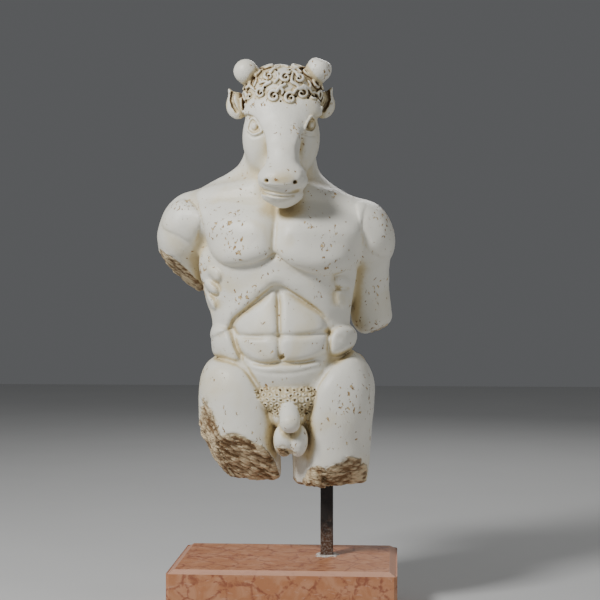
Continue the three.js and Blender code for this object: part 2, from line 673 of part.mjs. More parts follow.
/** Fewer triangles for the same form: edges are drawn together where that moves the surface least. */
function simplified({ points, triangles }, target) {
  const count = points.length / 3;
  const quadrics = new Float64Array(count * 10);
  const facesOf = Array.from({ length: count }, () => []);
  const stamp = new Int32Array(count);
  const normalOf = (a, b, c) => {
    const ux = b[0] - a[0];
    const uy = b[1] - a[1];
    const uz = b[2] - a[2];
    const vx = c[0] - a[0];
    const vy = c[1] - a[1];
    const vz = c[2] - a[2];
    return [uy * vz - uz * vy, uz * vx - ux * vz, ux * vy - uy * vx];
  };
  const pointOf = (v) => [points[3 * v], points[3 * v + 1], points[3 * v + 2]];
  for (let f = 0; f < triangles.length / 3; f++) {
    const corners = triangles.slice(3 * f, 3 * f + 3);
    const [a, b, c] = corners.map(pointOf);
    const n = normalOf(a, b, c);
    const size = Math.hypot(...n) + 1e-12;
    const [x, y, z] = n.map((m) => m / size);
    const w = -(x * a[0] + y * a[1] + z * a[2]);
    const terms = [x * x, x * y, x * z, x * w, y * y, y * z, y * w, z * z, z * w, w * w];
    for (const v of corners) {
      facesOf[v].push(f);
      terms.forEach((t, i) => (quadrics[10 * v + i] += t * size));
    }
  }
  const others = (v) => {
    const found = new Set();
    for (const f of facesOf[v]) for (let c = 0; c < 3; c++) found.add(triangles[3 * f + c]);
    found.delete(v);
    return found;
  };
  const heap = new Heap();
  const q = new Float64Array(10);
  const consider = (u, v) => {
    for (let i = 0; i < 10; i++) q[i] = quadrics[10 * u + i] + quadrics[10 * v + i];
    const cost = (x, y, z) =>
      q[0] * x * x + q[4] * y * y + q[7] * z * z + q[9] +
      2 * (q[1] * x * y + q[2] * x * z + q[3] * x + q[5] * y * z + q[6] * y + q[8] * z);
    const [ax, ay, az] = pointOf(u);
    const [bx, by, bz] = pointOf(v);
    let best = [(ax + bx) / 2, (ay + by) / 2, (az + bz) / 2];
    const c0 = q[4] * q[7] - q[5] * q[5];
    const c1 = q[5] * q[2] - q[1] * q[7];
    const c2 = q[1] * q[5] - q[4] * q[2];
    const c3 = q[0] * q[7] - q[2] * q[2];
    const c4 = q[1] * q[2] - q[0] * q[5];
    const c5 = q[0] * q[4] - q[1] * q[1];
    const det = q[0] * c0 + q[1] * c1 + q[2] * c2;
    const trace = q[0] + q[4] + q[7];
    if (det > 1e-3 * trace ** 3) {
      const x = -(q[3] * c0 + q[6] * c1 + q[8] * c2) / det;
      const y = -(q[3] * c1 + q[6] * c3 + q[8] * c4) / det;
      const z = -(q[3] * c2 + q[6] * c4 + q[8] * c5) / det;
      const stray = Math.hypot(x - best[0], y - best[1], z - best[2]);
      if (stray < 0.8 * Math.hypot(ax - bx, ay - by, az - bz)) best = [x, y, z];
    }
    const length = Math.hypot(ax - bx, ay - by, az - bz);
    heap.push({ cost: cost(...best) + 1e-3 * length ** 2, u, v, at: best, stamps: stamp[u] + stamp[v] });
  };
  for (let v = 0; v < count; v++) for (const o of others(v)) if (o > v) consider(v, o);
  const turns = (v, lost, at) =>
    facesOf[v].some((f) => {
      const corners = triangles.slice(3 * f, 3 * f + 3);
      if (corners.includes(lost)) return false;
      const before = normalOf(...corners.map(pointOf));
      const after = normalOf(...corners.map((c) => (c === v ? at : pointOf(c))));
      const sizes = Math.hypot(...before) * Math.hypot(...after);
      return before[0] * after[0] + before[1] * after[1] + before[2] * after[2] < 0.6 * sizes + 1e-9;
    });
  let left = triangles.length / 3;
  while (left > target && heap.entries.length) {
    const { u, v, at, stamps } = heap.pop();
    if (stamp[u] < 0 || stamp[v] < 0 || stamp[u] + stamp[v] !== stamps) continue;
    const around = others(v);
    if (!around.has(u)) continue;
    const shared = [...others(u)].filter((o) => around.has(o)).length;
    if (shared !== 2 || turns(u, v, at) || turns(v, u, at)) continue;
    const gone = facesOf[v].filter((f) => triangles.slice(3 * f, 3 * f + 3).includes(u));
    for (const f of gone) {
      for (let c = 0; c < 3; c++) {
        const corner = triangles[3 * f + c];
        if (corner !== v) facesOf[corner] = facesOf[corner].filter((o) => o !== f);
      }
    }
    for (const f of facesOf[v]) {
      if (gone.includes(f)) continue;
      for (let c = 0; c < 3; c++) if (triangles[3 * f + c] === v) triangles[3 * f + c] = u;
      facesOf[u].push(f);
    }
    for (const f of gone) triangles[3 * f] = -1;
    for (let i = 0; i < 10; i++) quadrics[10 * u + i] += quadrics[10 * v + i];
    for (let c = 0; c < 3; c++) points[3 * u + c] = at[c];
    stamp[v] = -1;
    stamp[u] += 1000;
    left -= gone.length;
    for (const o of others(u)) consider(u, o);
  }
  const kept = [];
  for (let f = 0; f < triangles.length; f += 3) {
    if (triangles[f] >= 0) kept.push(...triangles.slice(f, f + 3));
  }
  return { points, triangles: kept };
}

/** A solid of points and triangles, for joining and cutting. */
function solidOf({ points, triangles }) {
  const used = [...new Set(triangles)];
  const number = new Map(used.map((v, n) => [v, n]));
  const vertProperties = Float32Array.from(used.flatMap((v) => points.slice(3 * v, 3 * v + 3)));
  const triVerts = Uint32Array.from(triangles.map((v) => number.get(v)));
  return new wasm.Manifold(new wasm.Mesh({ numProp: 3, vertProperties, triVerts }));
}

/** The same for a geometry of three.js. */
function solidOfGeometry(geometry) {
  geometry.deleteAttribute("normal");
  geometry.deleteAttribute("uv");
  const merged = mergeVertices(geometry, 1e-4);
  const points = Array.from(merged.attributes.position.array);
  return solidOf({ points, triangles: Array.from(merged.index.array) });
}

/** The named piece of the part that a solid makes. */
function pieceOf(name, solid, colour, roughness, metalness = 0) {
  const mesh = solid.getMesh();
  const points = Array.from(mesh.vertProperties);
  const corners = Array.from(mesh.triVerts).flatMap((v) => points.slice(3 * v, 3 * v + 3));
  const geometry = new THREE.BufferGeometry();
  geometry.setAttribute("position", new THREE.Float32BufferAttribute(corners, 3));
  geometry.computeVertexNormals();
  const material = new THREE.MeshStandardMaterial({ color: colour, roughness, metalness });
  const piece = new THREE.Mesh(geometry, material);
  piece.name = name;
  return piece;
}

/** A rectangle round the origin with its corners cut off. */
function cutRectangle(width, depth, corner) {
  const [w, d] = [width / 2, depth / 2];
  const outline = [
    [-w + corner, -d], [w - corner, -d], [w, -d + corner], [w, d - corner],
    [w - corner, d], [-w + corner, d], [-w, d - corner], [-w, -d + corner],
  ];
  return new THREE.Shape(outline.map(([x, y]) => new THREE.Vector2(x, y)));
}

/** A shape drawn up to a height, standing with its foot at the given level on the bar's axis. */
function upright(shape, height, foot) {
  const geometry = new THREE.ExtrudeGeometry(shape, { depth: height, bevelEnabled: false });
  return solidOfGeometry(geometry.translate(BAR_RIGHT_OF_CENTRE, BAR_BEHIND_CENTRE, foot));
}

const THIGH_LEVEL = PLINTH_HEIGHT + BAR_EXPOSED;
const SOCKET_SIDE = BAR_SIDE + 2 * SOCKET_CLEARANCE;

/** A square hole round the bar, from one level to another. */
function socket(low, high) {
  return upright(cutRectangle(SOCKET_SIDE, SOCKET_SIDE, BAR_CORNER), high - low, low);
}

function makeStatue() {
  const scale = FIGURE_HEIGHT / FIGURE_PARTS;
  const x = BAR_RIGHT_OF_CENTRE - BAR_ENTRY.x * scale;
  const y = BAR_BEHIND_CENTRE - BAR_ENTRY.y * scale;
  const surface = simplified(surfaceOf(figure()), STATUE_TRIANGLES);
  const carved = solidOf(surface).scale(scale).translate([x, y, THIGH_LEVEL]);
  const top = THIGH_LEVEL + BAR_IN_THIGH + SOCKET_CLEARANCE;
  return carved.subtract(socket(THIGH_LEVEL - LATTICE_CELL, top));
}

function makeRod() {
  const shape = cutRectangle(BAR_SIDE, BAR_SIDE, BAR_CORNER);
  return upright(shape, BAR_IN_PLINTH + BAR_EXPOSED + BAR_IN_THIGH, PLINTH_HEIGHT - BAR_IN_PLINTH);
}

/** The mortar pressed in round the foot of the bar, spread by hand to an uneven edge. */
function makeMortar() {
  const edge = [];
  for (let n = 0; n < 20; n++) {
    const angle = (n / 20) * 2 * Math.PI;
    const square = BAR_SIDE / 2 / Math.max(Math.abs(Math.cos(angle)), Math.abs(Math.sin(angle)));
    const uneven = 0.8 + 0.2 * Math.sin(3 * angle + 1) + 0.15 * Math.sin(7 * angle);
    const reach = square + MORTAR_REACH * uneven;
    edge.push(new THREE.Vector2(reach * Math.cos(angle), reach * Math.sin(angle)));
  }
  const mortar = upright(new THREE.Shape(edge), MORTAR_THICKNESS, PLINTH_HEIGHT);
  return mortar.subtract(socket(PLINTH_HEIGHT - 1, PLINTH_HEIGHT + MORTAR_THICKNESS + 1));
}

/** The plinth: a block with its upper edges and its upright edges cut off, and a blind hole for the bar. */
function makePlinth() {
  const section = (inset) => {
    const shape = cutRectangle(PLINTH_WIDTH - 2 * inset, PLINTH_DEPTH - 2 * inset, PLINTH_EDGE_CUT);
    return shape.getPoints();
  };
  const levels = [[0, 0], [PLINTH_HEIGHT - PLINTH_CHAMFER, 0], [PLINTH_HEIGHT, PLINTH_CHAMFER]];
  const corners = levels.flatMap(([z, inset]) => section(inset).map(({ x, y }) => [x, y, z]));
  const block = wasm.Manifold.hull(corners);
  return block.subtract(socket(PLINTH_HEIGHT - BAR_IN_PLINTH, PLINTH_HEIGHT + 1));
}

const part = new THREE.Group();
part.add(
  pieceOf("statue", makeStatue(), 0xe9e2cf, 0.5),
  pieceOf("support_rod", makeRod(), 0x3a3330, 0.6, 0.7),
  pieceOf("rod_mortar", makeMortar(), 0xa9a196, 0.95),
  pieceOf("plinth", makePlinth(), 0x9c4a33, 0.35),
);
export default part;
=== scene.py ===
"""Dresses the marble minotaur torso and its stand for the picture.

The statue is carved again from the same masses as its CAD solid, on a finer lattice, with the curls, the
tool marks, the breaks and the worn pits that the solid is too coarse to hold. Sizes of the figure are in
parts: 850 parts from its lower broken thigh to its horn stubs. Its own origin is under the trunk's
mid-plane, level with that break. x is to the viewer's right, y to the back and z up.
"""

import logging
import math
from collections.abc import Callable, Sequence
from dataclasses import dataclass, field

import bpy
import numpy as np
from mathutils import Euler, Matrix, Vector


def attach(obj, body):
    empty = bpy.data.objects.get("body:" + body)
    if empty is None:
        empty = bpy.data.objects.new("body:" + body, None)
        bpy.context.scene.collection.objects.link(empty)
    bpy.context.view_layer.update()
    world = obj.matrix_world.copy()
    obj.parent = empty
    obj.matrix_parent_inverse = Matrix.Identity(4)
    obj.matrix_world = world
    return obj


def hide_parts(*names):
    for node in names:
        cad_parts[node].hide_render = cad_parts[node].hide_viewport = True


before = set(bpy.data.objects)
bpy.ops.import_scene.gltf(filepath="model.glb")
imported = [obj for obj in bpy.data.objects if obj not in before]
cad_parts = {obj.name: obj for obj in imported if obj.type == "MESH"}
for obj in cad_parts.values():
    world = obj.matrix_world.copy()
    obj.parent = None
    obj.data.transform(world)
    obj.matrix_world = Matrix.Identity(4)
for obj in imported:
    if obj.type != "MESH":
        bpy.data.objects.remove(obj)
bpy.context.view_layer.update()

log = logging.getLogger("statue")
MM = 0.001
NEAR = 1e-5
Point = Sequence[float]
Path = Sequence[Point]
Values = np.ndarray
Piece = bpy.types.Object
Socket = bpy.types.NodeSocket


@dataclass(frozen=True)
class Mass:
    """A mass of clay.

    Attributes:
        distance: Gives the signed distance of places (x, y, z) from the mass's surface.
        low: Lowest corner of the box that holds the mass.
        high: Highest corner of that box.
    """

    distance: Callable[[Values, Values, Values], Values]
    low: Point
    high: Point


def smooth_min(a: Values, b: Values, width: float) -> Values:
    """The lesser of two distances, with a fillet where they meet.

    Args:
        a: One distance.
        b: The other.
        width: About the width of the fillet.

    Returns:
        The joined distance.
    """
    blend = np.maximum(width - np.abs(a - b), 0) / width
    return np.minimum(a, b) - blend * blend * (width / 4)


def ellipsoid(centre: Point, radii: Point, turn: Point = (0, 0, 0)) -> Mass:
    """A rounded mass with three radii.

    Args:
        centre: Its middle.
        radii: Its half-widths along its own three axes.
        turn: Degrees about X, Y and Z.

    Returns:
        The mass.
    """
    axes = np.array(Euler([math.radians(t) for t in turn], "ZYX").to_matrix())
    reach = 1.02 * np.sqrt(((axes * np.array(radii)) ** 2).sum(1))

    def distance(x: Values, y: Values, z: Values) -> Values:
        """How far places are from the surface."""
        away = (x - centre[0], y - centre[1], z - centre[2])
        near, slope = 0, 0
        for axis in range(3):
            along = sum(float(axes[i][axis] / radii[axis]) * away[i] for i in range(3))
            near = near + along**2
            slope = slope + (along / radii[axis]) ** 2
        near = np.sqrt(near)
        return near * (near - 1) / np.maximum(np.sqrt(slope), 1e-5)

    return Mass(distance, np.array(centre) - reach, np.array(centre) + reach)


def limb(start: Point, end: Point, start_radius: float, end_radius: float | None = None) -> Mass:
    """A round limb between two points.

    Args:
        start: The middle of one end.
        end: The middle of the other.
        start_radius: The radius at the first end.
        end_radius: The radius at the other, if it differs.

    Returns:
        The mass.
    """
    last_radius = start_radius if end_radius is None else end_radius
    run = [b - a for a, b in zip(start, end)]
    length2 = sum(r * r for r in run)
    wide = max(start_radius, last_radius)

    def distance(x: Values, y: Values, z: Values) -> Values:
        """How far places are from the surface."""
        away = (x - start[0], y - start[1], z - start[2])
        along = np.clip(sum(a * (r / length2) for a, r in zip(away, run)), 0, 1)
        off = sum((a - r * along) ** 2 for a, r in zip(away, run))
        return np.sqrt(off) - start_radius - (last_radius - start_radius) * along

    ends = np.array([start, end], float)
    return Mass(distance, ends.min(0) - wide, ends.max(0) + wide)


def ring(centre: Point, radius: float, thickness: float, facing: Point) -> Mass:
    """A ring that lies in the plane that faces along a direction.

    Args:
        centre: Its middle.
        radius: From its middle to the middle of its tube.
        thickness: The tube's radius.
        facing: The direction.

    Returns:
        The mass.
    """
    normal = np.array(facing, float) / np.linalg.norm(facing)

    def distance(x: Values, y: Values, z: Values) -> Values:
        """How far places are from the surface."""
        away = (x - centre[0], y - centre[1], z - centre[2])
        height = sum(a * float(n) for a, n in zip(away, normal))
        out = np.sqrt(np.maximum(sum(a**2 for a in away) - height**2, 0)) - radius
        return np.sqrt(out**2 + height**2) - thickness

    reach = radius + thickness
    return Mass(distance, np.array(centre) - reach, np.array(centre) + reach)


def broken(mass: Mass, point: Point, facing: Point, rounding: float = 8) -> Mass:
    """A mass broken off along a plane.

    Args:
        mass: The whole mass.
        point: A point on the plane.
        facing: Points to the side that is gone.
        rounding: The rounding of the broken edge.

    Returns:
        What is left.
    """
    normal = np.array(facing, float) / np.linalg.norm(facing)

    def distance(x: Values, y: Values, z: Values) -> Values:
        """How far places are from the surface."""
        away = (x - point[0], y - point[1], z - point[2])
        beyond = sum(a * float(n) for a, n in zip(away, normal))
        return -smooth_min(-mass.distance(x, y, z), -beyond, rounding)

    return Mass(distance, mass.low, mass.high)


def beyond(point: Point, facing: Point, reach: float) -> Mass:
    """All that lies on the far side of a plane, near a place on it.

    Args:
        point: The place.
        facing: The plane's direction.
        reach: How far from the place.

    Returns:
        The mass.
    """
    across = Vector(facing).normalized()

    def distance(x: Values, y: Values, z: Values) -> Values:
        """How far places are from the surface."""
        x, y, z = x - point[0], y - point[1], z - point[2]
        height = x * across.x + y * across.y + z * across.z
        return np.maximum(-height, np.sqrt(x * x + y * y + z * z) - reach)

    return Mass(distance, [c - reach for c in point], [c + reach for c in point])


def smoothstep(value: Values, low: float, high: float) -> Values:
    """A share that goes softly from 0 at low to 1 at high."""
    share = np.clip((value - low) / (high - low), 0, 1)
    return share * share * (3 - 2 * share)


def curve(points: Path, closed: bool = False, steps: int = 6) -> Values:
    """A smooth line through points.

    Args:
        points: The points.
        closed: Whether the line runs back to its start.
        steps: Pieces between two points.

    Returns:
        The line's points.
    """
    given = np.array(points, float)
    if closed:
        given = np.concatenate([given[-1:], given, given[:2]])
    else:
        given = np.concatenate([2 * given[:1] - given[1:2], given, 2 * given[-1:] - given[-2:-1]])
    t = np.arange(steps)[:, None] / steps
    pieces = []
    for p, q, r, v in zip(given, given[1:], given[2:], given[3:]):
        pieces.append(q + 0.5 * t * (r - p + t * (2 * p - 5 * q + 4 * r - v + t * (3 * (q - r) + v - p))))
    return np.concatenate([*pieces, given[-2:-1]])


def away_from(line: Values, x: Values, z: Values) -> Values:
    """How far places are from a line in the front view.

    Args:
        line: The line's points, x and z each.
        x: The places' x.
        z: Their z.

    Returns:
        The distances.
    """
    nearest = np.full(x.shape, 1e9)
    for (ax, az), (bx, bz) in zip(line, line[1:]):
        dx, dz = bx - ax, bz - az
        share = np.clip(((x - ax) * dx + (z - az) * dz) / max(dx * dx + dz * dz, 1e-9), 0, 1)
        nearest = np.minimum(nearest, (x - ax - share * dx) ** 2 + (z - az - share * dz) ** 2)
    return np.sqrt(nearest)


def inside(line: Values, x: Values, z: Values) -> Values:
    """Which places a closed line in the front view goes round.

    Args:
        line: The line's points, x and z each.
        x: The places' x.
        z: Their z.

    Returns:
        True for each place within it.
    """
    within = np.zeros(x.shape, bool)
    for (ax, az), (bx, bz) in zip(line, line[1:]):
        if az != bz:
            within ^= ((az > z) != (bz > z)) & (x < ax + (z - az) * (bx - ax) / (bz - az))
    return within


def blurred(values: Values, reach: float, axis: int) -> Values:
    """Values blurred along an axis.

    Args:
        values: The values.
        reach: How far, in steps of the array.
        axis: The axis.

    Returns:
        The blurred values.
    """
    place = np.arange(values.shape[axis])
    weight = np.exp(-(((place[:, None] - place[None, :]) / reach) ** 2))
    weight /= weight.sum(1)[:, None]
    return weight @ values if axis == 0 else values @ weight.T


@dataclass
class Clay:
    """Clay on a lattice that grows finer towards the head.

    Attributes:
        cell: The lattice's width and height on the trunk, in parts.
        row: Its depth there.
        head_grain: The same three on the head, as shares of those.
        low: Lowest corner of the lattice.
        high: Highest corner.
        head: The middle of the head in x and y.
        finer_rows: Between these levels the lattice's levels move closer together.
        finer_cells: Between these it grows narrower.
        levels: The heights of its levels.
        x: The x of its points, by column and level.
        y: Their y, by row and level.
        values: Their signed distance from the clay's surface.
    """

    cell: float = 2.5
    row: float = 2.3
    head_grain: tuple[float, float, float] = (0.45, 0.84, 0.44)
    low: tuple[float, float, float] = (-278, -168, -12)
    high: tuple[float, float, float] = (256, 158, 872)
    head: tuple[float, float] = (0, -28)
    finer_rows: tuple[float, float] = (520, 580)
    finer_cells: tuple[float, float] = (600, 700)
    levels: Values = field(init=False)
    x: Values = field(init=False)
    y: Values = field(init=False)
    values: Values = field(init=False)

    def __post_init__(self) -> None:
        """Lays out the lattice, with no clay in it."""
        levels = [self.low[2]]
        while levels[-1] < self.high[2]:
            share = float(smoothstep(np.array(levels[-1]), *self.finer_rows))
            levels.append(levels[-1] + self.cell * (1 - (1 - self.head_grain[2]) * share))
        self.levels = np.array(levels, np.float32)
        share = smoothstep(self.levels, *self.finer_cells)
        grids = []
        for axis, cell in ((0, self.cell), (1, self.row)):
            count = math.ceil((self.high[axis] - self.low[axis]) / cell) + 1
            middle = (self.low[axis] + self.high[axis]) / 2
            middle = middle + (self.head[axis] - middle) * share
            step = cell * (1 - (1 - self.head_grain[axis]) * share)
            steps = np.arange(count)[:, None] - (count - 1) / 2
            grids.append((middle + steps * step).astype(np.float32))
        self.x, self.y = grids
        self.values = np.full((len(self.x), len(self.y), len(self.levels)), 1e3, np.float32)

    def window(self, mass: Mass, margin: float) -> tuple[slice, slice, slice]:
        """The part of the lattice that a mass reaches.

        Args:
            mass: The mass.
            margin: How far round it, in parts.

        Returns:
            The lattice's slices.
        """
        first, last = np.searchsorted(self.levels, [mass.low[2] - margin, mass.high[2] + margin])
        slices = []
        for axis, grid in ((0, self.x), (1, self.y)):
            near = grid[:, first : max(last, first + 1)]
            held = (near > mass.low[axis] - margin) & (near < mass.high[axis] + margin)
            used = np.flatnonzero(held.any(1))
            slices.append(slice(used[0], used[-1] + 1) if len(used) else slice(0, 0))
        return slices[0], slices[1], slice(int(first), int(last))

    def work(self, mass: Mass, fillet: float, sign: int) -> None:
        """Adds a mass to the clay, or takes it away.

        Args:
            mass: The mass.
            fillet: The fillet where it meets the clay.
            sign: 1 to add, -1 to take away.
        """
        i, j, k = self.window(mass, fillet + 9)
        x, y, z = self.x[i, None, k], self.y[None, j, k], self.levels[None, None, k]
        own = mass.distance(x, y, z)
        self.values[i, j, k] = sign * smooth_min(sign * self.values[i, j, k], own, fillet)

    def add(self, fillet: float, *masses: Mass) -> None:
        """Adds masses with a fillet."""
        for mass in masses:
            self.work(mass, fillet, 1)

    def carve(self, fillet: float, *masses: Mass) -> None:
        """Carves masses away with a fillet."""
        for mass in masses:
            self.work(mass, fillet, -1)

    def front(
        self, line: Values, margin: float, back: float, lift: Callable[[Values, Values], Values]
    ) -> None:
        """Raises or sinks the front of the clay near a line.

        Args:
            line: The line in the front view.
            margin: How far it reaches.
            back: Nothing behind this depth is changed.
            lift: Gives the height at x and z.
        """
        low, high = line.min(0), line.max(0)
        box = Mass(self.front, [low[0], self.low[1], low[1]], [high[0], back, high[1]])
        i, j, k = self.window(box, margin)
        x = self.x[i, k]
        height = lift(x, np.broadcast_to(self.levels[None, k], x.shape))
        share = 1 - smoothstep(self.y[j, k], back - 30, back)
        self.values[i, j, k] -= height[:, None, :] * share[None, :, :]

    def pad(
        self,
        height: float,
        edge: float,
        outline: Path,
        back: float = 20,
        fade: Point = (2e3, 3e3),
        soft: bool = False,
    ) -> None:
        """Raises a pad on the front.

        Args:
            height: How far it stands out.
            edge: How far in from its outline it is rounded.
            outline: Points round it, x and z each.
            back: Nothing behind this depth is changed.
            fade: Between these two levels it fades away upwards.
            soft: Whether it has no edge but swells softly out of the clay.
        """
        line = curve(outline, True)

        def lift(x: Values, z: Values) -> Values:
            """The height at x and z."""
            share = inside(line, x, z).astype(float)
            for axis in (0, 1):
                share = blurred(share, edge / 2 / self.cell, axis)
            share = smoothstep(share, 0.3, 1) if soft else np.sqrt(np.clip(2 * share - 1, 0, 1))
            return height * share * (1 - smoothstep(z, *fade))

        self.front(line, 1.6 * edge, back, lift)

    def groove(self, depth: float, width: float, path: Path, back: float = 20) -> None:
        """Cuts a groove into the front.

        Args:
            depth: Its depth.
            width: Half its width.
            path: Points along it, x and z each.
            back: Nothing behind this depth is changed.
        """
        line = curve(path)

        def lift(x: Values, z: Values) -> Values:
            """The height at x and z."""
            return -depth * np.exp(-((away_from(line, x, z) / width) ** 2))

        self.front(line, 3 * width, back, lift)

    def skin(self, x: float, z: float, out: float = 0) -> Values:
        """The place on the front of the clay at x and z, or a little in front of it."""
        depths = np.arange(self.low[1], self.high[1], 1.5)
        found = self.sample(np.stack([np.full_like(depths, x), depths, np.full_like(depths, z)], 1))
        n = int(np.argmax(found < 0))
        share = found[n - 1] / (found[n - 1] - found[n]) if n else 0
        return np.array([x, depths[n - 1] + 1.5 * share - out, z])

    def cord(self, fillet: float, thick: float, path: Path, out: float = 0, thin: float = 1) -> None:
        """Lays a cord along the front of the clay.

        Args:
            fillet: The fillet where it meets the clay.
            thick: Its radius.
            path: Points along it, x and z each.
            out: How far its middle stands off the clay.
            thin: Its radius at its end as a share of that at its start.
        """
        line = curve(path, steps=3)
        places = [self.skin(x, z, out) for x, z in line]
        radii = thick * np.linspace(1, thin, len(line))
        for start, end, first, last in zip(places, places[1:], radii, radii[1:]):
            self.add(fillet, limb(start, end, first, last))

    def place(self, i: Values, j: Values, k: Values) -> Values:
        """The places of lattice points, one row of x, y and z each."""
        return np.stack([self.x[i, k], self.y[j, k], self.levels[k]], -1)

    def sample(self, points: Values) -> Values:
        """The clay's distance at any points, read between the lattice points.

        Args:
            points: One row of x, y and z each.

        Returns:
            One distance each.
        """
        level = np.interp(points[:, 2], self.levels, np.arange(len(self.levels)))
        k = np.clip(level.astype(int), 0, len(self.levels) - 2)
        found = [(k, level - k)]
        for axis, grid in ((1, self.y), (0, self.x)):
            start = grid[0, k] + (grid[0, k + 1] - grid[0, k]) * (level - k)
            step = grid[1, k] - grid[0, k]
            step = step + (grid[1, k + 1] - grid[0, k + 1] - step) * (level - k)
            at = np.clip((points[:, axis] - start) / step, 0, len(grid) - 1.001)
            found.append((at.astype(int), at - at.astype(int)))
        (k, w), (j, v), (i, u) = found
        total = np.zeros(len(points))
        for corner in range(8):
            a, b, c = corner & 1, corner >> 1 & 1, corner >> 2
            share = (u if a else 1 - u) * (v if b else 1 - v) * (w if c else 1 - w)
            total += share * np.minimum(self.values[i + a, j + b, k + c], 40)
        return total

    def surface(self) -> tuple[Values, Values]:
        """The clay's closed surface.

        Returns:
            Points, one row of x, y and z each, and faces of four points each.
        """
        inside = self.values < 0
        full = np.zeros(tuple(n - 1 for n in inside.shape), np.uint8)
        corners = [(c & 1, c >> 1 & 1, c >> 2) for c in range(8)]
        near = [tuple(slice(o, n - 1 + o) for o, n in zip(c, inside.shape)) for c in corners]
        for window in near:
            full += inside[window]
        i, j, k = np.nonzero((full > 0) & (full < 8))
        number = np.full(full.shape, -1, np.int32)
        number[i, j, k] = np.arange(len(i))
        values = [self.values[i + a, j + b, k + c] for a, b, c in corners]
        places = [self.place(i + a, j + b, k + c) for a, b, c in corners]
        total, count = np.zeros((len(i), 3)), np.zeros(len(i))
        for first in range(8):
            for second in (first | 1, first | 2, first | 4):
                if second == first:
                    continue
                crossed = (values[first] < 0) != (values[second] < 0)
                share = values[first] / np.where(crossed, values[first] - values[second], 1)
                point = places[first] + (places[second] - places[first]) * share[:, None]
                total += np.where(crossed[:, None], point, 0)
                count += crossed
        points = total / count[:, None]
        faces = []
        for axis in range(3):
            ahead = [slice(1, n - 1) for n in inside.shape]
            behind = list(ahead)
            ahead[axis], behind[axis] = slice(1, None), slice(0, -1)
            before, after = inside[tuple(behind)], inside[tuple(ahead)]
            cells = np.argwhere(before != after) + [0 if a == axis else 1 for a in range(3)]
            u, v = np.eye(3, dtype=int)[(axis + 1) % 3], np.eye(3, dtype=int)[(axis + 2) % 3]
            quads = np.stack([number[tuple((cells - s).T)] for s in (0 * u, u, u + v, v)], 1)
            outward = inside[tuple(cells.T)]
            faces.append(np.where(outward[:, None], quads, quads[:, ::-1]))
        return points, np.concatenate(faces)


def scatter(cells: Values, seed: int) -> Values:
    """A random share for each whole-numbered cell.

    Args:
        cells: One row of three whole numbers each.
        seed: Picks another pattern.

    Returns:
        One number from 0 to 1 each.
    """
    c = cells.astype(np.int64)
    h = (c[..., 0] * 73856093) ^ (c[..., 1] * 19349663) ^ (c[..., 2] * 83492791) ^ (seed * 2654435761)
    h = (h ^ (h >> 13)) * 1274126177 & 0xFFFFFFFF
    h = (h ^ (h >> 16)) * 2246822519 & 0xFFFFFFFF
    return ((h ^ (h >> 15)) & 0xFFFFFF) / 0xFFFFFF


def noise(points: Values, size: float, seed: int) -> Values:
    """Soft random hills and hollows.

    Args:
        points: One row of x, y and z each.
        size: The width of a hill.
        seed: Picks another pattern.

    Returns:
        One number from -1 to 1 each.
    """
    at = points / size
    base = np.floor(at)
    share = at - base
    share = share * share * (3 - 2 * share)
    total = np.zeros(len(points))
    for corner in range(8):
        offset = np.array([corner & 1, corner >> 1 & 1, corner >> 2])
        weight = np.where(offset, share, 1 - share).prod(1)
        total += weight * scatter(base + offset, seed)
    return 2 * total - 1


def rough(points: Values, size: float, seed: int, octaves: int = 3) -> Values:
    """Random relief with finer and finer detail, from about -1 to 1."""
    return sum(noise(points, size / 2**n, seed + n) / 1.7**n for n in range(octaves)) / 1.6


def chips(points: Values, size: float, seed: int) -> tuple[Values, Values]:
    """Random chips side by side, as a pointed chisel leaves them.

    Args:
        points: One row of x, y and z each.
        size: The chips' spacing.
        seed: Picks another pattern.

    Returns:
        How far each point is from its chip's middle, in spacings, and the chip's random number.
    """
    at = points / size
    base = np.floor(at)
    nearest, chance = np.full(len(points), 9.0), np.zeros(len(points))
    for n in range(27):
        cell = base + [n % 3 - 1, n // 3 % 3 - 1, n // 9 - 1]
        middle = cell + np.stack([scatter(cell, seed + s) for s in range(3)], -1)
        away = np.linalg.norm(at - middle, axis=1)
        closer = away < nearest
        nearest = np.where(closer, away, nearest)
        chance = np.where(closer, scatter(cell, seed + 5), chance)
    return nearest, chance


def unit(vector: Values) -> Values:
    """A direction of length one."""
    return vector / np.linalg.norm(vector)


def mesh_object(name: str, points: Values, faces: Values) -> Piece:
    """A mesh object of points and faces, smoothly shaded.

    Args:
        name: The object's name.
        points: One row of x, y and z each, in metres.
        faces: Faces of the same number of points each.

    Returns:
        The object, linked to the scene.
    """
    mesh = bpy.data.meshes.new(name)
    sides = faces.shape[1]
    mesh.vertices.add(len(points))
    mesh.vertices.foreach_set("co", points.astype(np.float32).ravel())
    mesh.loops.add(faces.size)
    mesh.loops.foreach_set("vertex_index", faces.astype(np.int32).ravel())
    mesh.polygons.add(len(faces))
    mesh.polygons.foreach_set("loop_start", np.arange(0, faces.size, sides, dtype=np.int32))
    mesh.update(calc_edges=True)
    mesh.polygons.foreach_set("use_smooth", np.ones(len(faces), bool))
    piece = bpy.data.objects.new(name, mesh)
    bpy.context.scene.collection.objects.link(piece)
    return piece


def only(piece: Piece) -> None:
    """Selects one object alone and makes it the active one."""
    bpy.ops.object.select_all(action="DESELECT")
    piece.select_set(True)
    bpy.context.view_layer.objects.active = piece


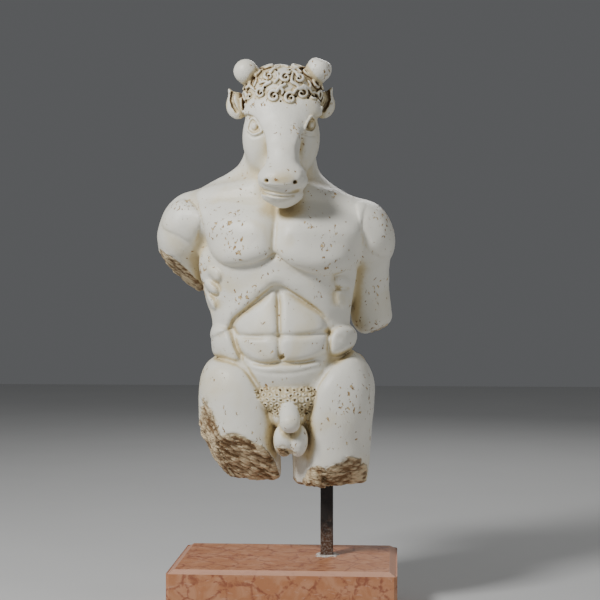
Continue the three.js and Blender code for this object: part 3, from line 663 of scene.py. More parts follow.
def block(name: str, low: Point, high: Point) -> Piece:
    """A box whose origin is the room's.

    Args:
        name: The object's name.
        low: Its lowest corner, in metres.
        high: Its highest corner.

    Returns:
        The box, alone selected.
    """
    bpy.ops.object.select_all(action="DESELECT")
    bpy.ops.mesh.primitive_cube_add(size=1, location=[(a + b) / 2 for a, b in zip(low, high)])
    made = bpy.context.object
    made.name = name
    made.scale = [b - a for a, b in zip(low, high)]
    bpy.ops.object.transform_apply(location=True, rotation=False, scale=True)
    return made


def cut_edges(
    piece: Piece, chosen: Callable[[Vector, Vector], bool], width: float, steps: int = 1
) -> None:
    """Cuts or rounds edges.

    Args:
        piece: The object.
        chosen: Tells from an edge's two ends whether it is cut.
        width: How far the cut runs in from the edge.
        steps: Facets of the cut. More of them round it.
    """
    only(piece)
    mesh = piece.data
    for vertex in mesh.vertices:
        vertex.select = False
    for face in mesh.polygons:
        face.select = False
    for edge in mesh.edges:
        edge.select = chosen(*(mesh.vertices[v].co for v in edge.vertices))
    bpy.ops.object.mode_set(mode="EDIT")
    bpy.ops.mesh.select_mode(type="EDGE")
    bpy.ops.mesh.bevel(offset=width, segments=steps, profile=0.5, affect="EDGES")
    bpy.ops.object.mode_set(mode="OBJECT")


def divide(piece: Piece, chosen: Values) -> None:
    """Divides an object's chosen faces, each into four, and those round them to fit.

    Args:
        piece: The object.
        chosen: Whether each face is divided.
    """
    only(piece)
    mesh = piece.data
    mesh.vertices.foreach_set("select", np.zeros(len(mesh.vertices), bool))
    mesh.edges.foreach_set("select", np.zeros(len(mesh.edges), bool))
    mesh.polygons.foreach_set("select", chosen)
    bpy.ops.object.mode_set(mode="EDIT")
    bpy.ops.mesh.select_mode(type="FACE")
    bpy.ops.mesh.subdivide(number_cuts=1)
    bpy.ops.object.mode_set(mode="OBJECT")


def bore(piece: Piece, low: Point, high: Point) -> None:
    """Cuts a square hole for the bar.

    Args:
        piece: The object.
        low: The hole's lowest corner, in metres.
        high: Its highest corner.
    """
    tool = block("hole", low, high)
    only(piece)
    cut = piece.modifiers.new("hole", "BOOLEAN")
    cut.object = tool
    bpy.ops.object.modifier_apply(modifier=cut.name)
    bpy.data.objects.remove(tool)


def read_points(piece: Piece) -> tuple[Values, Values]:
    """An object's points and the surface's direction at each.

    Args:
        piece: The object.

    Returns:
        The points and the directions, one row of x, y and z each.
    """
    found = [np.zeros(3 * len(piece.data.vertices), np.float32) for _ in range(2)]
    piece.data.vertices.foreach_get("co", found[0])
    piece.data.vertices.foreach_get("normal", found[1])
    points, normals = (values.reshape(-1, 3).astype(float) for values in found)
    return points, normals


def move_points(piece: Piece, points: Values) -> None:
    """Moves an object's points to new places."""
    piece.data.vertices.foreach_set("co", points.astype(np.float32).ravel())
    piece.data.update()


def roughen(piece: Piece, depth: float, size: float, seed: int) -> None:
    """Moves an object's points in and out at random.

    Args:
        piece: The object.
        depth: How far, in metres.
        size: Size of the unevenness, in metres.
        seed: Picks another pattern.
    """
    points, normals = read_points(piece)
    move_points(piece, points + normals * (depth * rough(points, size, seed))[:, None])


def thin(piece: Piece, triangles: int) -> None:
    """Takes away the triangles that a mesh needs least.

    Args:
        piece: The object.
        triangles: The most that stay.
    """
    faces = sum(len(p.vertices) - 2 for p in piece.data.polygons)
    if faces <= triangles:
        return
    only(piece)
    fewer = piece.modifiers.new("fewer", "DECIMATE")
    fewer.ratio = triangles / faces
    bpy.ops.object.modifier_apply(modifier=fewer.name)


Colour = tuple[float, float, float]
Setting = float | Sequence[float] | Socket


@dataclass(frozen=True)
class Wiring:
    """The nodes of one finish, wired up step by step.

    Attributes:
        tree: The finish's node tree.
    """

    tree: bpy.types.NodeTree

    def node(self, kind: str, inputs: dict[str | int, Setting], **settings: object) -> bpy.types.Node:
        """Adds a node.

        Args:
            kind: Its type.
            inputs: A value or another node's output for each input, by name or number.
            **settings: Its own settings.

        Returns:
            The node.
        """
        made = self.tree.nodes.new(kind)
        for name, value in settings.items():
            setattr(made, name, value)
        for name, value in inputs.items():
            if isinstance(value, Socket):
                self.tree.links.new(value, made.inputs[name])
            else:
                made.inputs[name].default_value = value
        return made

    def join(self, shader: bpy.types.Node, sockets: dict[str, Socket]) -> None:
        """Joins sockets to the shader's inputs of these names."""
        for name, socket in sockets.items():
            self.tree.links.new(socket, shader.inputs[name])

    def place(self, stretch: Point = (1, 1, 1), turn: Point = (0, 0, 0)) -> Socket:
        """Places on the object, stretched and turned.

        Args:
            stretch: Scale on each axis.
            turn: Angles in radians.

        Returns:
            The places.
        """
        own = self.node("ShaderNodeTexCoord", {}).outputs["Object"]
        return self.node("ShaderNodeMapping", {"Vector": own, "Scale": stretch, "Rotation": turn}).outputs[0]

    def cloud(self, place: Socket, scale: float, detail: float = 3, warp: float = 0) -> Socket:
        """Cloudy noise from 0 to 1.

        Args:
            place: Where to read it.
            scale: Clouds in a metre.
            detail: Finer layers on top.
            warp: How much the clouds swirl.

        Returns:
            The noise.
        """
        settings = {"Vector": place, "Scale": scale, "Detail": detail, "Distortion": warp}
        return self.node("ShaderNodeTexNoise", settings).outputs["Fac"]

    def step(self, value: Socket, low: float, high: float) -> Socket:
        """Runs smoothly from 0 at the low value to 1 at the high one."""
        inputs = {"Value": value, 1: low, 2: high, 3: 0.0, 4: 1.0}
        return self.node("ShaderNodeMapRange", inputs, interpolation_type="SMOOTHSTEP").outputs[0]

    def math(self, operation: str, a: Setting, b: Setting) -> Socket:
        """Works out a value from two others."""
        return self.node("ShaderNodeMath", {0: a, 1: b}, operation=operation).outputs[0]

    def add(self, a: Setting, b: Setting) -> Socket:
        """Two values added."""
        return self.math("ADD", a, b)

    def times(self, a: Setting, b: Setting) -> Socket:
        """Two values multiplied."""
        return self.math("MULTIPLY", a, b)

    def mix(self, share: Setting, under: Setting, over: Setting) -> Socket:
        """One colour laid over another by a share."""
        made = self.node("ShaderNodeMix", {0: share}, data_type="RGBA")
        for name, value in ((6, under), (7, over)):
            if isinstance(value, Socket):
                self.tree.links.new(value, made.inputs[name])
            else:
                made.inputs[name].default_value = (*value, 1)
        return made.outputs[2]

    def mark(self, name: str) -> Socket:
        """A mark that the mesh carries."""
        return self.node("ShaderNodeAttribute", {}, attribute_name=name).outputs["Fac"]

    def bump(self, height: Socket, depth: float, below: Socket | None = None) -> Socket:
        """Fine unevenness.

        Args:
            height: Its height from 0 to 1.
            depth: What 1 stands for, in metres.
            below: Coarser unevenness under it.

        Returns:
            The surface's direction.
        """
        inputs = {"Height": height, "Distance": depth, "Strength": 1.0}
        if below:
            inputs["Normal"] = below
        return self.node("ShaderNodeBump", inputs).outputs[0]


@dataclass(frozen=True)
class Finish:
    """What every finish has: a name and one shader.

    Attributes:
        name: The finish's name.
    """

    name: str

    def start(self) -> tuple[bpy.types.Material, Wiring, bpy.types.Node]:
        """Makes the material, with its wiring and its shader."""
        made = bpy.data.materials.new(self.name)
        made.use_nodes = True
        return made, Wiring(made.node_tree), made.node_tree.nodes["Principled BSDF"]


@dataclass(frozen=True)
class WhiteMarble(Finish):
    """Warm white marble with dirt and painted shade in its hollows, worn pits and brown broken faces.

    Attributes:
        name: The finish's name.
        pale: The clean stone.
        warm: The stone where it has yellowed.
        wash: Thin dirt.
        deep_dirt_and_shade: Thick dirt and painted shade, in the deepest hollows.
        pit: The worn pits.
        ochre: Their paler flakes.
        raw_low: The broken faces, deep down.
        raw_high: The same on their ridges.
    """

    name: str = "white_marble"
    pale: Colour = (0.82, 0.80, 0.71)
    warm: Colour = (0.76, 0.70, 0.53)
    wash: Colour = (0.64, 0.54, 0.33)
    deep_dirt_and_shade: Colour = (0.13, 0.075, 0.03)
    pit: Colour = (0.30, 0.18, 0.075)
    ochre: Colour = (0.64, 0.48, 0.25)
    raw_low: Colour = (0.20, 0.115, 0.05)
    raw_high: Colour = (0.68, 0.55, 0.35)

    def build(self) -> bpy.types.Material:
        """Wires the finish."""
        made, wiring, shader = self.start()
        place = wiring.place()
        speckle = wiring.cloud(place, 160, 4)
        stone = wiring.mix(wiring.step(wiring.cloud(place, 9, 4, 0.6), 0.5, 0.75), self.pale, self.warm)
        # Dirt and painted shade in the hollows: a yellowish wash of dirt where they are shallow, near-black
        # painted shade with dirt where they are deepest
        dirt_and_shade = wiring.add(wiring.mark("dirt_and_shade"), wiring.times(speckle, 0.4))
        washed = wiring.mix(wiring.step(dirt_and_shade, 0.26, 1.15), stone, self.wash)
        dirtied_and_shaded = wiring.mix(wiring.step(dirt_and_shade, 1.2, 2.6), washed, self.deep_dirt_and_shade)
        # Small worn pits, singly and in loose clusters
        wear = wiring.add(wiring.times(wiring.mark("worn"), 0.24), wiring.cloud(place, 15, 3))
        flakes = wiring.cloud(wiring.place((1.2, 1.2, 0.9), (0.3, 0.2, 0.4)), 115, 3, 0.5)
        pits = wiring.step(wiring.add(flakes, wiring.times(wear, 0.45)), 0.905, 0.935)
        pitted = wiring.mix(pits, dirtied_and_shaded, wiring.mix(wiring.step(speckle, 0.4, 0.6), self.pit, self.ochre))
        # Broken faces are brown, palest on their ridges
        chipped = wiring.cloud(wiring.place((0.5, 0.5, 1.4), (0.2, 0.6, 0.3)), 170, 4, 0.3)
        depth = wiring.add(wiring.mark("ridge"), wiring.times(chipped, 0.9))
        raw = wiring.mix(wiring.step(depth, 0.35, 1.15), self.raw_low, self.raw_high)
        bare = wiring.step(wiring.add(wiring.mark("broken"), wiring.times(speckle, 0.5)), 0.5, 0.9)
        colour = wiring.mix(bare, pitted, raw)
        rough = wiring.add(wiring.times(wiring.math("MAXIMUM", bare, pits), 0.4), 0.42)
        grain = wiring.bump(wiring.cloud(place, 300, 3), 0.0004)
        sunk = wiring.bump(wiring.math("SUBTRACT", 1.0, pits), 0.0010, grain)
        cut = wiring.bump(wiring.times(chipped, bare), 0.005, sunk)
        wiring.join(shader, {"Base Color": colour, "Roughness": rough, "Normal": cut})
        shader.inputs["Specular IOR Level"].default_value = 0.4
        return made


@dataclass(frozen=True)
class RedMarble(Finish):
    """Orange-red marble with darker veins, painted paler on its upper slanted edges as light falling on
    them.

    Attributes:
        name: The finish's name.
        ground: The stone between its veins.
        cloud: Its pinker clouds.
        vein: Its veins.
        pale_fleck_and_lit_edge: Its paler flecks, and the painted light on its upper slanted edges.
    """

    name: str = "red_marble"
    ground: Colour = (0.46, 0.19, 0.085)
    cloud: Colour = (0.54, 0.26, 0.14)
    vein: Colour = (0.23, 0.055, 0.028)
    pale_fleck_and_lit_edge: Colour = (0.60, 0.35, 0.25)

    def build(self) -> bpy.types.Material:
        """Wires the finish."""
        made, wiring, shader = self.start()
        place = wiring.place()
        stone = wiring.mix(wiring.step(wiring.cloud(place, 26, 5, 1.2), 0.38, 0.66), self.ground, self.cloud)
        cells = wiring.node(
            "ShaderNodeTexVoronoi",
            {"Vector": wiring.place((1, 1, 1.2)), "Scale": 22.0, "Randomness": 1.0},
            feature="DISTANCE_TO_EDGE",
        ).outputs["Distance"]
        wander = wiring.times(wiring.cloud(place, 60, 6, 2), 0.42)
        veins = wiring.step(wiring.add(cells, wander), 0.30, 0.16)
        stone = wiring.mix(wiring.times(veins, 0.75), stone, self.vein)
        flecks = wiring.step(wiring.cloud(wiring.place((0.5, 1.6, 1.4)), 130, 5, 0.6), 0.60, 0.70)
        stone = wiring.mix(wiring.times(flecks, 0.5), stone, self.pale_fleck_and_lit_edge)
        # Painted light: the upper slanted edges, which face up to the lamps, are painted paler
        edge = wiring.mark("pale_fleck_and_lit_edge")
        colour = wiring.mix(wiring.times(edge, 0.8), stone, self.pale_fleck_and_lit_edge)
        gloss = wiring.add(wiring.times(wiring.cloud(place, 90, 4), 0.3), 0.25)
        grain = wiring.bump(wiring.cloud(place, 260, 4), 0.0003)
        wiring.join(shader, {"Base Color": colour, "Roughness": gloss, "Normal": grain})
        return made


@dataclass(frozen=True)
class Iron(Finish):
    """Dark blackened iron that rusts towards its foot.

    Attributes:
        name: The finish's name.
        black: Where it is still blackened.
        rust: Where it rusts.
        bare: Grey bare metal and dust.
        foot: Height of the plinth's top, in metres.
    """

    name: str = "iron"
    black: Colour = (0.020, 0.017, 0.015)
    rust: Colour = (0.11, 0.055, 0.03)
    bare: Colour = (0.20, 0.17, 0.145)
    foot: float = 0.110

    def build(self) -> bpy.types.Material:
        """Wires the finish."""
        made, wiring, shader = self.start()
        place = wiring.place()
        height = wiring.node("ShaderNodeSeparateXYZ", {0: place}).outputs[2]
        patches = wiring.cloud(place, 110, 5, 0.8)
        level = wiring.add(height, wiring.times(patches, 0.07))
        worn = wiring.step(level, self.foot + 0.115, self.foot + 0.055)
        metal = wiring.mix(wiring.step(wiring.cloud(place, 260, 4), 0.45, 0.60), self.rust, self.bare)
        colour = wiring.mix(worn, self.black, metal)
        rough = wiring.add(wiring.times(worn, 0.3), 0.45)
        grain = wiring.bump(patches, 0.0012)
        wiring.join(shader, {"Base Color": colour, "Roughness": rough, "Normal": grain})
        shader.inputs["Metallic"].default_value = 0.35
        return made


@dataclass(frozen=True)
class Mortar(Finish):
    """Pale grey mortar.

    Attributes:
        name: The finish's name.
        pale: Its colour.
        dull: Its colour where it is dirty.
    """

    name: str = "mortar"
    pale: Colour = (0.62, 0.57, 0.52)
    dull: Colour = (0.34, 0.27, 0.23)

    def build(self) -> bpy.types.Material:
        """Wires the finish."""
        made, wiring, shader = self.start()
        grain = wiring.cloud(wiring.place(), 210, 5)
        colour = wiring.mix(wiring.step(grain, 0.5, 0.66), self.pale, self.dull)
        wiring.join(shader, {"Base Color": colour, "Normal": wiring.bump(grain, 0.002)})
        shader.inputs["Roughness"].default_value = 0.9
        return made


@dataclass(frozen=True)
class Floor(Finish):
    """A pale studio floor.

    Attributes:
        name: The finish's name.
        grey: Its colour.
    """

    name: str = "pale_floor"
    grey: Colour = (0.60, 0.60, 0.59)

    def build(self) -> bpy.types.Material:
        """Wires the finish."""
        made, wiring, shader = self.start()
        soft = wiring.cloud(wiring.place(), 3, 2)
        darker = tuple(0.94 * c for c in self.grey)
        wiring.join(shader, {"Base Color": wiring.mix(soft, darker, self.grey)})
        shader.inputs["Roughness"].default_value = 0.85
        return made


@dataclass(frozen=True)
class Break:
    """A broken face.

    Attributes:
        point: A place on it, in parts.
        facing: Its direction.
        reach: How far it runs from that place.
        depth: How rough it is.
        stroke: Width of its tool marks.
    """

    point: Point
    facing: Point
    reach: float
    depth: float
    stroke: float


@dataclass
class Statue:
    """The marble torso of the minotaur.

    Attributes:
        height: From the lower broken thigh to the horn stubs, in metres.
        parts: The same in the figure's parts.
        bar_entry: Where the bar's axis enters, in parts.
        bar_place: The same place in the room, in metres, on the level of the broken thigh.
        triangles: The most that the finished mesh has.
        bar_side: The side of the square bar, in metres.
        bar_in_thigh: How far it goes in.
        clearance: The gap all round it there.
        breaks: The broken faces.
        worn_places: Where worn pits cluster, x, z and reach each.
        dirt_and_shade_reaches: How far out from the stone hollows are looked for, and what each counts, for
            their dirt and painted shade.
        dirt_and_shade_above: Between these levels the dirt and painted shade grow thicker, in the hair.
        more_dirt_and_shade: By what share.
        curl_patch: Round the curls of the groin, x and z each.
        curl_size: Width and height of one of them.
        clay: The clay that it is carved from.
    """

    height: float = 0.85
    parts: float = 850
    bar_entry: tuple[float, float] = (92, 0)
    bar_place: tuple[float, float, float] = (0.079, 0.024, 0.248)
    triangles: int = 196000
    bar_side: float = 0.025
    bar_in_thigh: float = 0.12
    clearance: float = 0.0015
    breaks: tuple[Break, ...] = (
        Break((-60, -112, 112), (-0.2, -0.72, -0.66), 240, 5.0, 8),
        Break((-152, -30, 108), (-0.82, -0.48, -0.27), 190, 5.0, 8),
        Break((-150, -10, 85), (-0.8, -0.25, -0.55), 160, 5.0, 8),
        Break((-80, -10, 14), (0, 0, -1), 115, 4.0, 8),
        Break((102, -4, 5), (0, 0, -1), 115, 4.0, 8),
        Break((150, -58, 54), (0.5, -0.62, -0.6), 70, 4.0, 7),
        Break((-216, 84, 424), (-0.6, -0.25, -0.76), 90, 4.0, 7),
        Break((180, 80, 300), (0.4, -0.1, -0.9), 80, 4.0, 7),
    )
    worn_places: Path = (
        *((-194, 573, 26), (-85, 482, 24), (87, 460, 22), (-65, 375, 22), (83, 380, 22)),
        *((182, 394, 26), (198, 525, 24), (141, 158, 30), (38, 702, 12), (52, 676, 10)),
    )
    dirt_and_shade_reaches: Path = ((3, 0.35), (7, 0.45), (14, 0.5), (26, 0.6))
    dirt_and_shade_above: tuple[float, float] = (745, 765)
    more_dirt_and_shade: float = 0.9
    curl_patch: Path = (
        *((-46, 202), (-10, 205), (30, 204), (74, 204), (72, 180)),
        *((60, 152), (48, 146), (-4, 146), (-24, 156), (-36, 176)),
    )
    curl_size: tuple[float, float] = (13, 9.5)
    clay: Clay = field(default_factory=Clay)

    def carve_trunk(self) -> None:
        """Ribcage, shoulder girdle, waist and pelvis. The chest turns a little to the viewer's left."""
        self.clay.add(
            36,
            ellipsoid([-8, 16, 462], [150, 98, 136], [0, 4, -5]),
            ellipsoid([-14, 28, 562], [154, 74, 56], [0, 3, -5]),
            ellipsoid([0, 14, 330], [130, 84, 124]),
            ellipsoid([8, 24, 218], [134, 88, 74]),
        )
        # Broad muscles of the back, which show as the trunk's outline under the arms
        self.clay.add(
            30,
            ellipsoid([-112, 52, 444], [50, 60, 116], [0, 6, 0]),
            ellipsoid([94, 44, 436], [50, 60, 110], [0, -6, 0]),
        )
        # Neck, the slopes of the shoulders and the collar bones
        self.clay.add(30, limb([-6, 36, 620], [-2, 24, 716], 76, 68))
        self.clay.add(
            34,
            limb([-50, 42, 626], [-178, 40, 552], 32, 32),
            limb([34, 42, 614], [142, 30, 538], 28, 28),
        )
        self.clay.add(
            30,
            limb([-50, -26, 592], [-150, -6, 578], 15, 18),
            limb([34, -30, 584], [132, -10, 560], 15, 18),
        )

    def carve_back(self) -> None:
        """Shoulder blades, the long muscles beside the spine, the furrow between them, and the seat."""
        self.clay.add(
            34,
            ellipsoid([-88, 92, 528], [62, 28, 66], [0, 18, 0]),
            ellipsoid([74, 88, 520], [60, 28, 66], [0, -18, 0]),
        )
        self.clay.add(
            26,
            limb([-30, 76, 290], [-34, 88, 470], 28, 26),
            limb([38, 76, 290], [22, 86, 470], 28, 26),
        )
        self.clay.add(
            30,
            ellipsoid([-58, 72, 196], [76, 62, 76], [0, 10, 0]),
            ellipsoid([80, 70, 202], [78, 62, 76], [0, -10, 0]),
        )
        self.clay.carve(20, limb([4, 122, 280], [-6, 128, 570], 12, 10))
        self.clay.carve(12, limb([12, 154, 130], [9, 130, 262], 12, 4))

    def carve_ribs(self) -> None:
        """The lowest ribs end in an arch over the belly, which lies deeper than they do."""
        left = (
            (0, 405), (-16, 399), (-35, 382), (-64, 357), (-91, 336), (-104, 314), (-160, 300),
            (-190, 400),
        )
        right = ((190, 400), (160, 300), (103, 310), (95, 330), (83, 348), (57, 370), (25, 393))
        self.clay.pad(11, 14, (*left, (-190, 640), (190, 640), *right), 20, (440, 520))
        self.clay.groove(
            -3, 14, ((-104, 340), (-66, 376), (-34, 402), (0, 420), (32, 408), (66, 384), (100, 352))
        )
        # Fingers of muscle on the ribs, under the arms, with a crease at the lower end of each
        fingers = (
            ((-144, 440), (-124, 438), (-112, 424), (-114, 410), (-128, 410), (-142, 422)),
            ((-156, 414), (-138, 412), (-124, 400), (-120, 386), (-134, 384), (-150, 396)),
            ((-152, 386), (-136, 382), (-126, 370), (-126, 352), (-138, 354), (-148, 370)),
            ((108, 420), (128, 424), (140, 414), (134, 398), (114, 400)),
            ((112, 396), (130, 396), (138, 380), (130, 358), (114, 366)),
        )
        for outline in fingers:
            self.clay.pad(8, 16, outline, 50, soft=True)
        creases = (
            ((-139, 420), (-128, 411), (-121, 404), (-117, 396)),
            ((-156, 408), (-150, 398), (-137, 386), (-126, 381), (-120, 386)),
            ((-150, 380), (-144, 366), (-136, 353)),
            ((112, 400), (122, 396), (134, 398)),
        )
        for path in creases:
            self.clay.groove(2.4, 3.2, path, 50)

    def carve_belly(self) -> None:
        """Swellings with narrow grooves between them: two under the arch, two at the navel, one below."""
        self.clay.add(12, ellipsoid([5, -10, 286], [108, 82, 128]))
        swellings = (
            (
                (-2, 396), (-35, 372), (-64, 352), (-84, 333), (-88, 316), (-72, 304), (-35, 302),
                (1, 304), (0, 349),
            ),
            ((5, 396), (38, 375), (67, 358), (94, 338), (98, 318), (83, 307), (45, 304), (7, 304), (6, 349)),
            ((-84, 303), (-38, 304), (1, 304), (2, 257), (-19, 252), (-50, 256), (-74, 274)),
            ((7, 304), (51, 306), (98, 312), (102, 292), (90, 267), (54, 256), (20, 255), (6, 262)),
        )
        for outline in swellings:
            self.clay.pad(9, 24, outline, soft=True)
        self.clay.groove(3.5, 4, ((-2, 392), (1, 350), (3, 310), (4, 270)))
        self.clay.groove(4, 4.5, ((-90, 318), (-78, 305), (-38, 304), (3, 306), (48, 306), (96, 312)))
        self.clay.groove(
            4, 4.5, ((-72, 268), (-50, 256), (-20, 251), (5, 254), (30, 254), (56, 256), (88, 268))
        )
        # The sides of the belly
        self.clay.groove(3, 5, ((-96, 308), (-90, 296), (-77, 266), (-64, 242), (-45, 215), (-36, 202)))
        self.clay.groove(3, 5, ((99, 308), (100, 290), (98, 262), (92, 238), (78, 212), (72, 200)))
        lower = (
            (-64, 250), (-32, 247), (3, 250), (45, 250), (86, 256), (94, 234), (78, 212), (71, 196),
            (19, 185),
        )
        self.clay.pad(8, 20, (*lower, (-35, 190), (-50, 222)), soft=True)
        self.clay.groove(2, 4, ((-58, 240), (-20, 233), (30, 233), (88, 246)))
        self.clay.carve(4, ellipsoid([9, -94, 264], [6, 14, 5]))
        # Flank muscles that overhang the hips
        self.clay.add(
            16,
            ellipsoid([-100, 8, 290], [30, 56, 32], [0, 14, 8]),
            ellipsoid([108, 6, 292], [32, 56, 32], [0, -24, -8]),
        )
        left = (
            (-142, 318), (-107, 321), (-95, 312), (-89, 295), (-78, 270), (-72, 254), (-90, 252),
            (-112, 257),
        )
        right = (
            (100, 308), (114, 322), (142, 324), (162, 312), (160, 292), (132, 268), (106, 262),
            (97, 280),
        )
        self.clay.pad(13, 22, (*left, (-145, 258)), 50, soft=True)
        self.clay.pad(13, 22, right, 50, soft=True)

    def carve_chest(self) -> None:
        """The chest muscles are broad plates that run out to the arms and have full lower edges."""
        self.clay.add(
            24,
            limb([-40, -40, 522], [-140, -12, 535], 36, 34),
            limb([36, -42, 514], [142, -18, 520], 36, 34),
        )
        left = (
            (-12, 464), (-22, 455), (-51, 446), (-83, 442), (-112, 446), (-131, 461), (-142, 483),
            (-150, 520),
        )
        right = (
            (163, 520), (167, 480), (158, 451), (135, 434), (108, 425), (76, 425), (38, 437),
            (11, 453), (0, 466),
        )
        self.clay.pad(11, 14, (*left, (-150, 640), (150, 640), *right), 60, (500, 600))
        left = ((-6, 520), (-7, 490), *left[:-1], (-146, 530), (-110, 570), (-50, 575))
        right = (*right, (-2, 490), (-2, 520), (30, 565), (90, 565), (145, 540))
        for outline in (left, right):
            self.clay.pad(17, 56, outline, 60, (500, 590), True)
        self.clay.groove(4, 6, ((-8, 460), (-7, 490), (-5, 525), (-6, 560)))

    def carve_legs(self) -> None:
        """The thighs come forward below the groin. Both are broken off, the viewer's left one on a slope."""
        left = (
            (-165, 262), (-112, 253), (-88, 250), (-62, 232), (-44, 205), (-32, 185), (-14, 150),
            (-6, 100),
        )
        left = (*left, (-6, -60), (-240, -60), (-230, 200))
        bone = limb([-70, 10, 200], [-80, -26, 50], 82, 76)
        self.carve_thigh(bone, [-86, -34, 180], -12, left, self.breaks[:4])
        right = ((175, 290), (150, 282), (127, 262), (99, 236), (80, 208), (72, 186), (64, 150), (58, 100))
        right = (*right, (56, 40), (56, -60), (240, -60), (240, 220))
        bone = limb([96, 10, 196], [94, -2, 34], 80, 70)
        self.carve_thigh(bone, [108, -28, 166], 8, right, self.breaks[4:6])

    def carve_thigh(
        self, bone: Mass, muscle: Point, lean: float, outline: Path, breaks: Sequence[Break]
    ) -> None:
        """One thigh with its broken end.

        Args:
            bone: Its main mass.
            muscle: The middle of the muscle on its front.
            lean: How far that leans outwards, in degrees.
            outline: Where it rises from the belly and the groin.
            breaks: The faces that it is broken off at.
        """
        self.clay.add(10, bone)
        self.clay.add(24, ellipsoid(muscle, [56, 46, 76], [0, lean, 0]))
        self.clay.pad(12, 30, outline, 60)
        for face in breaks:
            self.clay.carve(12, beyond(face.point, face.facing, face.reach))

    def carve_groin(self) -> None:
        """The patch of short curls and the genitals."""
        self.clay.add(8, ellipsoid([15, -60, 180], [62, 36, 28]), ellipsoid([19, -58, 150], [38, 32, 32]))
        self.clay.add(
            4,
            ellipsoid([12, -82, 101], [21, 26, 32], [0, -3, 0]),
            ellipsoid([40, -82, 101], [19, 25, 32], [0, 3, 0]),
        )
        self.clay.add(6, limb([22, -84, 166], [26, -110, 138], 19, 20))

    def carve_arms(self) -> None:
        """Both arms go down and back. One is broken off above the elbow, the other at it."""
        self.clay.add(18, ellipsoid([-194, 32, 520], [56, 60, 74], [0, 18, 0]))
        left = limb([-204, 48, 500], [-210, 84, 410], 53, 47)
        self.clay.add(10, broken(left, [-216, 84, 424], [-0.6, -0.25, -0.76], 12))
        self.clay.add(18, ellipsoid([168, 18, 508], [56, 60, 68], [0, -16, 0]))
        self.clay.add(14, limb([174, 36, 490], [172, 72, 420], 48, 42))
        right = limb([172, 74, 410], [180, 88, 340], 42, 42)
        self.clay.add(10, broken(right, [180, 80, 300], [0.4, -0.1, -0.9], 24))
        # The muscles that cap the shoulders
        left = (
            (-245, 518), (-228, 556), (-200, 580), (-174, 566), (-155, 538), (-165, 502),
            (-172, 477), (-202, 504),
        )
        right = (
            (150, 570), (186, 566), (218, 532), (230, 490), (220, 450), (190, 464), (170, 474),
            (164, 508),
        )
        self.clay.pad(8, 34, left, 80)
        self.clay.pad(8, 34, right, 80)

    def carve_head(self) -> None:
        """The bull's head: skull, cheeks, jaw, nose, eyes, mouth, horn stubs and ears."""
        self.clay.add(24, limb([0, 6, 764], [2, -18, 706], 70, 67))
        self.clay.add(
            16,
            ellipsoid([-36, -24, 690], [37, 48, 60], [8, -4, -10]),
            ellipsoid([41, -24, 690], [37, 48, 60], [8, 4, 10]),
        )
        self.clay.add(
            14, limb([6, -34, 640], [13, -98, 580], 42, 26), ellipsoid([11, -110, 578], [41, 32, 19])
        )
        # The flat plate of the forehead and the nose, which narrows down to the muzzle
        self.clay.add(
            10,
            ellipsoid([8, -42, 746], [71, 34, 38]),
            ellipsoid([9, -58, 722], [47, 25, 46], [-12, 0, 0]),
        )
        self.clay.add(8, ellipsoid([12, -86, 684], [33, 21, 70], [-24, 0, 0]))
        self.clay.add(
            10, limb([12, -98, 648], [14, -112, 612], 27, 33), ellipsoid([13, -120, 605], [48, 36, 28])
        )
        left = (
            (-100, 752), (-80, 742), (-58, 738), (-44, 730), (-34, 714), (-25, 695), (-20, 677),
            (-18, 660), (-21, 643),
        )
        right = (
            (45, 640), (41, 656), (40, 673), (44, 690), (54, 709), (65, 727), (80, 736), (110, 746),
            (8, 800),
        )
        self.clay.pad(6, 13, (*left, (-34, 626), (-30, 600), (14, 590), (46, 598), (56, 620), *right), -10)
        self.carve_eye(
            (-48, 715),
            ((-61, 711), (-57, 725), (-49, 731), (-39, 721), (-32, 705)),
            ((-61, 709), (-55, 702), (-46, 698), (-32, 703)),
            ((-61, 702), (-49, 693), (-34, 696)),
        )
        self.carve_eye(
            (64, 718),
            ((72, 718), (71, 729), (65, 734), (58, 723), (52, 708)),
            ((72, 716), (69, 707), (63, 703), (53, 705)),
            ((50, 699), (60, 696), (70, 697)),
        )
        # Nostrils, with a soft rim round each
        for x, z, side in ((-17, 601, -1), (41, 598, 1)):
            place = self.clay.skin(x, z)
            self.clay.carve(3, limb(place - [0, 6, 0], place + [-6 * side, 14, 5], 4.4, 2.8))
        # The mouth, with a fold of the lips above and below it
        lips = (
            (2.4, ((-30, 591), (-18, 585), (0, 581), (17, 579), (34, 582), (43, 586))),
            (3.6, ((-26, 583), (-16, 578), (0, 574), (20, 573), (34, 576))),
            (1.2, ((-18, 572), (-2, 567), (18, 567), (34, 573))),
        )
        for depth, path in lips:
            self.clay.groove(depth, 2.0, path, -60)
        self.carve_horns()
        self.carve_ears()

    def carve_horns(self) -> None:
        """The horn stubs: the viewer's left one worn round, the right one broken in facets."""
        self.clay.add(8, limb([-38, -8, 798], [-67, -36, 827], 20, 24))
        stub = limb([46, -8, 798], [78, -34, 830], 20, 25)
        for point, facing in (([86, -44, 846], [0.35, -0.2, 0.9]), ([92, -58, 824], [0.7, -0.7, 0.1])):
            stub = broken(stub, point, facing, 5)
        self.clay.add(8, broken(stub, [72, -58, 838], [-0.2, -0.9, 0.4], 5))

    def carve_ears(self) -> None:
        """Pointed ears, rounded outside, with a channel inside."""
        for side, x in ((-1, -88), (1, 85)):
            self.clay.add(5, ellipsoid([x, 2, 764], [23, 15, 27], [0, 6 * side, 0]))
            self.clay.add(5, limb([x + 6 * side, 0, 776], [x + 16 * side, -2, 795], 13, 3))
            arc = ((9, 788), (10, 774), (6, 762), (0, 752))
            path = [self.clay.skin(x + out * side, z, -3) for out, z in arc]
            for start, end in zip(path, path[1:]):
                self.clay.carve(3, limb(start, end, 3.6, 3.6))

